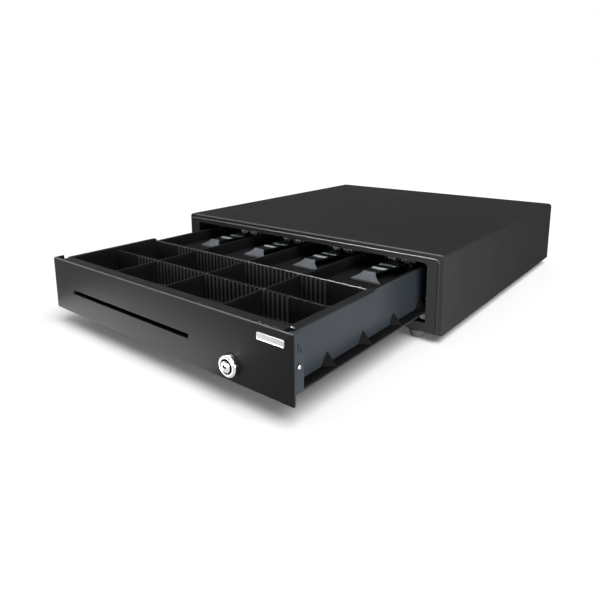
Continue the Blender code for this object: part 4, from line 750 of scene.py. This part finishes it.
def make_lock():
    barrel = lathe(LOCK_BARREL, LOCK_PLACE, BACK, steps=72, bored=True)
    piece("lock_barrel_chrome", barrel, "drawer", "chrome", ("lock_barrel",), sharp=30)
    # The groove's deep black is painted shade in the gap round the plug
    piece("lock_groove", lathe(LOCK_GROOVE, LOCK_PLACE, BACK, bored=True), "drawer", "shade_black")
    front = FACE_Y + PLUG_FRONT
    centre = (LOCK_X, front, LOCK_Z)
    keyway = block(*from_place(centre, KEYWAY), width=0.5)
    ward = block(*from_place(centre, WARD), width=0.3, segments=2)
    plug = carved(lathe(LOCK_PLUG, LOCK_PLACE, BACK, steps=64), keyway, ward)
    mesh_piece("lock_plug_chrome", plug, "lock", "chrome", ("lock_plug",), sharp=30)
    # The wafers' deep black is painted shade inside the keyway
    wafers = None
    for depth in WAFER_DEPTHS:
        place = (LOCK_X, front + depth, LOCK_Z)
        wafers = block(*from_place(place, WAFER), width=0.15, segments=1, shape=wafers)
    piece("lock_wafers", wafers, "lock", "shade_black")


# Drawer pan trim and rollers

FLANGE_ENDS = (FACE_Y + 13.2, FACE_Y + 320.0)
HEM_X, HEM_Z, HEM_RADIUS = 183.45, 31.95, 0.62
# The black strip over each flange's top, painted shade: its reach across, its heights and how far short of the
# flange's ends it stops
SHADE_STRIP_XS, SHADE_STRIP_ZS, SHADE_STRIP_SHORT = (172.3, 182.7), (32.4, 32.85), 0.4
# Each pair's row, radius and width
ROLLERS = (("front", 5.0, 7.0), ("rear", 6.0, 8.0))
ROLLER_BORE = 1.9


def make_flange_hems():
    """The folded outer edge of each side flange."""
    for side, sign in SIDES:
        points = [(sign * HEM_X, y, HEM_Z) for y in FLANGE_ENDS]
        piece(f"flange_hem_{side}", tube(points, HEM_RADIUS, sides=14), "drawer", "pan")


def make_flange_shade_strips():
    """A black strip on top of each side flange, painted shade over the flange's top."""
    (start, end), (low, high) = FLANGE_ENDS, SHADE_STRIP_ZS
    for side, sign in SIDES:
        near, far = sorted(sign * x for x in SHADE_STRIP_XS)
        ends = (near, start + SHADE_STRIP_SHORT, low), (far, end - SHADE_STRIP_SHORT, high)
        shape = block(*ends, width=0.15, segments=2)
        piece(f"flange_shade_strip_{side}", shape, "drawer", "shade_black")


def roller_profile(bore, radius, low, high):
    """A nylon roller with a hub at each end, a dished side and a crowned tread."""
    dish = [(bore, 0), (bore + 1.0, 0), (bore + 1.2, -0.2), (bore + 1.3, -0.55), (radius - 1.0, -0.55)]
    dish += [(radius - 0.75, -0.2), (radius - 0.55, -0.05), (radius - 0.2, -0.3), (radius - 0.03, -0.75)]
    return [(r, high + h) for r, h in dish] + [(r, low - h) for r, h in reversed(dish)]


def make_rollers():
    for side, sign in SIDES:
        for row, radius, width in ROLLERS:
            name = f"{row}_roller_{side}"
            profile = roller_profile(ROLLER_BORE, radius, -width / 2, width / 2)
            shape = lathe(profile, middle(name), (sign, 0, 0), bored=True)
            piece(f"{name}_nylon", shape, f"{row}_wheel_{side}", "nylon", (name,), sharp=30)


# Note clips, with distances ahead of the hinge

_, HINGE_Y, HINGE_Z = middle("note_clip_pin_1")
NOTE_FLOOR = 63.7
ROOT, NECK, TIP = 13.0, 71.0, 80.4
ROOT_HALF, NECK_HALF, TIP_HALF = 15, 8.1, 19.5
ROOT_TOP, ARM_RISE, PAD_DROP = -1.5, 2.8, 8
ARM_THICK, PAD_THINNING, PAD_FLARE = 2.5, 0.6, 1.6
ROOT_ROUND, ROOT_PINCH = 0.8, 0.5
TIP_ROUND, TIP_PINCH, TIP_FALL = 0.08, 0.4, 0.35
# Points round the arm's right rail, from its outer edge and its top
ARM_RAIL = (
    (-0.6, -ARM_THICK), (-0.15, -2.35), (0, -2.0), (0, -0.45), (-0.15, -0.12), (-0.5, 0), (-1.1, 0),
    (-1.35, -0.1), (-1.5, -0.4),
)
ARM_STATIONS = [ROOT + s for s in (0, 0.15, 0.35, 0.6, 0.8, *range(4, 57, 4))] + [NECK]
PAD_SHARES = (0, 0.1, 0.2, 0.3, 0.4, 0.5, 0.6, 0.7, 0.8, 0.88, 0.92, 0.95, 0.98, 1.0)
# The web from the arm to the knuckle: distance ahead, half width, and heights of underside and top
WEB = ((15, 11, -3.6, -2.0), (12.5, 11, -3.6, -2.0), (7, 1.7, -3.2, -0.6), (2, 1.4, -2.8, 0.6))
KNUCKLE_HALF = ((1.6, -5.5), (2.7, -5.5), (2.9, -5.3), (2.9, -1.4), (3.8, -1.2))
KNUCKLE = (*KNUCKLE_HALF, *((r, -h) for r, h in reversed(KNUCKLE_HALF)))
# The corners, from the hinge, of the saddle that the spring presses on
SADDLE = ((-8.2, -20.2, -1.9), (8.2, -15.6, 0.55))
TREAD_STARTS, TREAD_LENGTH, TREAD_INSET, TREAD_STAND = (25.8, 46.8), 5.8, 1.6, 0.35
WIRE_RADIUS, CURL_RADIUS, CURL_PITCH, CURLS, CURL_POINTS = 0.7, 3.8, 2.9, 4, 24
# A spring's leg from the hinge, starting in the middle of the bridge between the two legs
SPRING_LEG = (
    (0, -18.0, -0.4), (1.0, -18.0, -0.4), (1.9, -17.65, -0.4), (2.2, -16.6, -0.3), (2.2, -6.0, 2.5),
    (2.2, -2.6, 3.45),
)
SPRING_TAIL = (0, 5, 0)
BRACKET_HALF_X, BRACKET_HALF_Y, BRACKET_CORNER = 18.5, 8, 2.5
BRACKET_LOW, BRACKET_HIGH = NOTE_FLOOR + 0.3, NOTE_FLOOR + 1.5
CHEEK_INSIDE, CHEEK_RADIUS, CHEEK_FOOT = 16.5, 4.0, 5
BRACKET_SCREWS = ((-11.5, 5.2), (11.5, 5.2))


def arm_at(ahead):
    """Half the width of a clip's arm and the height of its top, at a distance ahead of the hinge."""
    share = (ahead - ROOT) / (NECK - ROOT)
    return ROOT_HALF - (ROOT_HALF - NECK_HALF) * share, HINGE_Z + ROOT_TOP + ARM_RISE * share


def mirrored(side, x, ahead, top):
    """A closed section across a clip from the points of its right side."""
    outline = side + [(-u, v) for u, v in reversed(side)]
    return [(x + u, HINGE_Y - ahead, top + v) for u, v in outline]


def arm_section(x, ahead):
    """The arm between two low rails, its root rounded off."""
    half, top = arm_at(ahead)
    end = max(1 - (ahead - ROOT) / ROOT_ROUND, 0)
    half -= ROOT_PINCH * end**2
    top -= ROOT_PINCH * end**2
    side = [(half + u, v) for u, v in ARM_RAIL] + [(half * 0.45, -0.45)]
    return mirrored(side, x, ahead, top)


def pad_section(x, share):
    """The pad between the neck and its tip, flaring and sloping down, its tip rounded off."""
    end = max(1 - (1 - share) / TIP_ROUND, 0)
    half = NECK_HALF + (TIP_HALF - NECK_HALF) * share**PAD_FLARE - TIP_PINCH * end**2
    top = arm_at(NECK)[1] - PAD_DROP * share
    thick, drop = ARM_THICK - PAD_THINNING * share, TIP_FALL * end**2
    side = [(half - 0.3, -thick), (half, -thick + 0.3), (half, -0.4 - drop), (half - 0.12, -0.12 - drop)]
    side += [(half - 0.45, -drop), (half * 0.5, 0.04 - drop)]
    return mirrored(side, x, NECK + (TIP - NECK) * share, top)


def make_clip(n, x):
    body = f"clip_{n}"
    hinge = (x, HINGE_Y, HINGE_Z)
    shape = loft([arm_section(x, s) for s in ARM_STATIONS])
    web = []
    for ahead, half, low, high in WEB:
        corners = ((-half, low), (half, low), (half, high), (-half, high))
        web.append([(x + u, HINGE_Y - ahead, HINGE_Z + v) for u, v in corners])
    loft(web, shape)
    lathe(KNUCKLE, hinge, RIGHT, steps=40, bored=True, shape=shape)
    block(*from_place(hinge, SADDLE), width=0.4, shape=shape)
    piece(f"note_clip_{n}_arm", shape, body, "clip", (f"note_clip_{n}",), sharp=32)

    # The pad's bluish grey is painted reflection
    pad = loft([pad_section(x, s) for s in PAD_SHARES])
    piece(f"note_clip_{n}_pad", pad, body, "pad", sharp=40)

    # The treads' pale blue is painted reflection
    treads = None
    for start in TREAD_STARTS:
        ends = []
        for ahead in (start, start + TREAD_LENGTH):
            half, top = arm_at(ahead)
            half -= TREAD_INSET
            corners = ((-half, -1), (half, -1), (half, TREAD_STAND), (-half, TREAD_STAND))
            ends.append([(x + u, HINGE_Y - ahead, top + v) for u, v in corners])
        tread = loft(ends)
        bmesh.ops.recalc_face_normals(tread, faces=tread.faces)
        bevel_edges(tread, tread.edges[:], width=0.3)
        treads = merge(treads, tread)
    piece(f"note_clip_{n}_treads", treads, body, "tread")


def make_clip_spring(n, x):
    """A double torsion spring: one half from the middle of its bridge to its tail, and the same mirrored."""
    half = [Vector(p) for p in SPRING_LEG]
    first = SPRING_LEG[-1][0]
    for step in range(CURLS * CURL_POINTS + 1):
        angle = 2 * math.pi * step / CURL_POINTS
        along = first + CURL_PITCH * step / CURL_POINTS
        half.append(Vector((along, CURL_RADIUS * math.sin(angle), CURL_RADIUS * math.cos(angle))))
    half.append(half[-1] + Vector(SPRING_TAIL))
    path = [Vector((-p.x, p.y, p.z)) for p in reversed(half[1:])] + half
    hinge = Vector((x, HINGE_Y, HINGE_Z))
    shape = tube([hinge + p for p in path], WIRE_RADIUS, sides=12)
    node = f"note_clip_spring_{n}"
    piece(f"{node}_wire", shape, f"clip_{n}", "spring", (node,), sharp=60)


def make_clip_bracket(n, x, master):
    low = (x - BRACKET_HALF_X, HINGE_Y - BRACKET_HALF_Y)
    high = (x + BRACKET_HALF_X, HINGE_Y + BRACKET_HALF_Y)
    shape = slab(rounded_rectangle(low, high, BRACKET_CORNER), BRACKET_LOW, BRACKET_HIGH, "Z", width=0.25)
    foot = BRACKET_HIGH - 0.5
    cheek = [(HINGE_Y + CHEEK_FOOT, foot), *arc((HINGE_Y, HINGE_Z), CHEEK_RADIUS, -10, 190, 16)]
    cheek.append((HINGE_Y - CHEEK_FOOT, foot))
    for _, sign in SIDES:
        near, far = sorted((x + sign * CHEEK_INSIDE, x + sign * BRACKET_HALF_X))
        shape = slab(cheek, near, far, "X", width=0.3, shape=shape)
    node = f"note_clip_bracket_{n}"
    piece(f"{node}_frame", shape, "drawer", "clip", (node,), sharp=32)
    for m, (dx, dy) in enumerate(BRACKET_SCREWS):
        place = (x + dx, HINGE_Y + dy, BRACKET_HIGH)
        screw(f"{node}_screw_{m + 1}", master, place, UP, "drawer", turn=0.3 + m)


def make_clips():
    master = screw_mesh(*BRACKET_SCREW)
    for n in CLIPS:
        x = middle(f"note_clip_pin_{n}").x
        make_clip(n, x)
        make_clip_spring(n, x)
        make_clip_bracket(n, x, master)


# Unlocking unit behind the drawer

BOBBIN_BORE, BOBBIN_CORE, BOBBIN_FLANGE, BOBBIN_ROUND = 4.1, 6.0, 2.0, 0.3
WINDING_START, WINDING_PITCH, WINDING_INSET = 2.1, 0.6, 1.2
SWITCH_DEPTH, BUTTON_HALF_X, BUTTON_HALF_Z = 10.4, 3.2, 1.6
EYE_SPREAD, TAB_LEFTS, SWITCH_TAB = 6.5, (-6, -1, 4), ((0, 4, -1.0), (2.2, 4.6, -0.02))
SWITCH_EYE = ((0.9, -0.1), (1.7, -0.1), (1.8, 0.2), (1.7, 0.35), (0.9, 0.35))
KICK_WIRE, KICK_RADIUS, KICK_CURLS, KICK_POINTS = 0.8, 6.0, 7, 28


def make_solenoid():
    low, high = span("solenoid_coil")
    length, radius = high.x - low.x, (high.z - low.z) / 2
    place = (high.x, (low.y + high.y) / 2, (low.z + high.z) / 2)
    rim, flange = radius - BOBBIN_ROUND, BOBBIN_FLANGE
    near = [(BOBBIN_BORE, 0), (rim, 0), (radius, -BOBBIN_ROUND), (radius, BOBBIN_ROUND - flange)]
    near += [(rim, -flange), (BOBBIN_CORE, -flange)]
    bobbin = lathe(near + [(r, -length - h) for r, h in reversed(near)], place, RIGHT, bored=True)
    piece("solenoid_bobbin", bobbin, "cabinet", "dark", ("solenoid_coil",))
    inside, crest = BOBBIN_CORE + 0.1, radius - WINDING_INSET
    valley = crest - WINDING_PITCH / 2
    wound = [(inside, -WINDING_START)]
    for n in range(int((length - 2 * WINDING_START) / WINDING_PITCH)):
        along = WINDING_START + 0.05 + WINDING_PITCH * n
        wound += [(valley, -along), (crest, -along - WINDING_PITCH / 2)]
    wound += [(valley, WINDING_START - length), (inside, WINDING_START - length)]
    winding = lathe(wound, place, RIGHT, steps=40, bored=True)
    piece("solenoid_winding", winding, "cabinet", "copper")


def make_switch():
    """A switch with a button, two eyelets and three tabs."""
    low, high = span("drawer_switch")
    front, x, z = high.y - SWITCH_DEPTH, (low.x + high.x) / 2, (low.z + high.z) / 2
    body = block((low.x, front, low.z), (high.x, high.y, high.z), width=0.6)
    for _, sign in SIDES:
        place = (x + sign * EYE_SPREAD, front + 0.2, z)
        lathe(SWITCH_EYE, place, FRONT, steps=24, bored=True, shape=body)
    button = (x - BUTTON_HALF_X, low.y, z - BUTTON_HALF_Z), (x + BUTTON_HALF_X, front + 1, z + BUTTON_HALF_Z)
    block(*button, width=0.5, shape=body)
    for left in TAB_LEFTS:
        tab = from_place((x + left, front, high.z), SWITCH_TAB)
        block(*tab, width=0.1, segments=1, shape=body)
    piece("drawer_switch_body", body, "cabinet", "dark", ("drawer_switch",), sharp=32)


def make_kick_spring():
    low, high = span("kick_spring")
    x, z = (low.x + high.x) / 2, (low.z + high.z) / 2
    back, free = high.y - KICK_WIRE, low.y + KICK_WIRE
    steps = KICK_CURLS * KICK_POINTS
    path = []
    for step in range(steps + 1):
        angle = 2 * math.pi * step / KICK_POINTS
        along = back + (free - back) * step / steps
        path.append((x + KICK_RADIUS * math.cos(angle), along, z + KICK_RADIUS * math.sin(angle)))
    shape = tube(path, KICK_WIRE, sides=14)
    piece("kick_spring_wire", shape, "cabinet", "spring", ("kick_spring",), sharp=60)


# Stage, in metres

SKY, FLOOR_GLOW, FLOOR_TONE, FLOOR_HALF = 0.34, 0.08, 0.92, 6
SUN, SUN_WIDTH, SUN_WAY = 2.7, 46, (-0.52, 0.2, -1.0)
# Each lamp's name, place, aim, size, power and, where it isn't for both, the light it is for
LAMPS = (
    ("front_fill", (0.3, -1.7, 0.3), (0, -0.1, 0.06), (0.9, 0.4), 13.0),
    ("right_fill", (0.52, -0.3, 0.06), (0.2, -0.06, 0.03), (0.3, 0.1), 3.3),
    ("back_fill", (-1.0, 1.3, 0.22), (0, 0.15, 0.05), (1.0, 0.4), 15.0, "matt"),
    ("edge_light", (-0.26, -0.42, 1.3), (0.1, -0.1, 0.1), (0.4, 0.8), 120.0, "gloss"),
    ("rim_light", (-0.16, -0.42, 0.55), (0.06, -0.32, 0.1), (0.28, 0.3), 20.0, "gloss"),
    ("left_light", (-1.2, -0.9, 0.25), (-0.05, -0.3, 0.05), (0.8, 0.45), 3.0, "gloss"),
    ("low_light", (-0.09, -0.358, 0.003), (-0.09, -0.356, 0.1), (0.31, 0.07), 0.34, "gloss"),
)


def seen_directly(tree):
    """One for rays from the camera and for what metal, gloss and glass show, nought for scattered light."""
    rays = tree.nodes.new("ShaderNodeLightPath")
    kinds = [rays.outputs[kind] for kind in ("Is Camera Ray", "Is Glossy Ray", "Is Transmission Ray")]
    return reduce(partial(combine, tree, "MAXIMUM"), kinds)


def make_stage():
    """A pale floor that keeps the shadow, set in the white surroundings."""
    shape = bmesh.new()
    bmesh.ops.create_grid(shape, x_segments=1, y_segments=1, size=FLOOR_HALF)
    mesh = to_mesh(shape, "floor")
    floor = bpy.data.objects.new("floor", mesh)
    scene.collection.objects.link(floor)
    made, tree, shader = new_material("pale_floor")
    shader.inputs["Base Color"].default_value = (FLOOR_TONE, FLOOR_TONE, FLOOR_TONE, 1)
    shader.inputs["Roughness"].default_value = 0.9
    shader.inputs["Specular IOR Level"].default_value = 0.0
    glow = tree.nodes.new("ShaderNodeEmission")
    strength = tree.nodes.new("ShaderNodeMath")
    strength.operation = "MULTIPLY"
    strength.inputs[1].default_value = FLOOR_GLOW
    tree.links.new(seen_directly(tree), strength.inputs[0])
    tree.links.new(strength.outputs["Value"], glow.inputs["Strength"])
    both = tree.nodes.new("ShaderNodeAddShader")
    tree.links.new(shader.outputs["BSDF"], both.inputs[0])
    tree.links.new(glow.outputs["Emission"], both.inputs[1])
    tree.links.new(both.outputs["Shader"], tree.nodes["Material Output"].inputs["Surface"])
    mesh.materials.append(made)
    return floor


def make_world():
    world = bpy.data.worlds.new("studio")
    scene.world = world
    world.use_nodes = True
    tree = world.node_tree
    background = tree.nodes["Background"]
    background.inputs["Color"].default_value = (1, 1, 1, 1)
    strength = tree.nodes.new("ShaderNodeMapRange")
    strength.inputs["To Min"].default_value = SKY
    strength.inputs["To Max"].default_value = 1.0
    tree.links.new(seen_directly(tree), strength.inputs["Value"])
    tree.links.new(strength.outputs["Result"], background.inputs["Strength"])


def softbox(unlit, name, place, aim, size, power, kind="both"):
    """A soft rectangular lamp that leaves out the floor, and may be for gloss only or for matt light only."""
    data = bpy.data.lights.new(name, "AREA")
    data.shape = "RECTANGLE"
    data.size, data.size_y = size
    data.energy = power
    lamp = bpy.data.objects.new(name, data)
    lamp.location = place
    lamp.rotation_euler = (Vector(aim) - Vector(place)).to_track_quat("-Z", "Y").to_euler()
    lamp.visible_diffuse = kind != "gloss"
    lamp.visible_glossy = kind != "matt"
    lamp.visible_camera = False
    lamp.light_linking.receiver_collection = unlit
    scene.collection.objects.link(lamp)


def make_lights(floor):
    data = bpy.data.lights.new("soft_sun", "SUN")
    data.energy = SUN
    data.angle = math.radians(SUN_WIDTH)
    sun = bpy.data.objects.new("soft_sun", data)
    sun.rotation_euler = Vector(SUN_WAY).to_track_quat("-Z", "Y").to_euler()
    scene.collection.objects.link(sun)
    unlit = bpy.data.collections.new("floor_only")
    unlit.objects.link(floor)
    unlit.collection_objects[0].light_linking.link_state = "EXCLUDE"
    for lamp in LAMPS:
        softbox(unlit, *lamp)


make_camera()
dress_packed_nodes()
make_feet()
make_grommet()
make_frame_bead()
make_case_screws()
make_front_screws()
make_return_tabs()
make_name_plate()
make_lock()
make_flange_hems()
make_flange_shade_strips()
make_rollers()
make_clips()
make_solenoid()
make_switch()
make_kick_spring()
make_world()
make_lights(make_stage())

scene.view_settings.view_transform = "Standard"
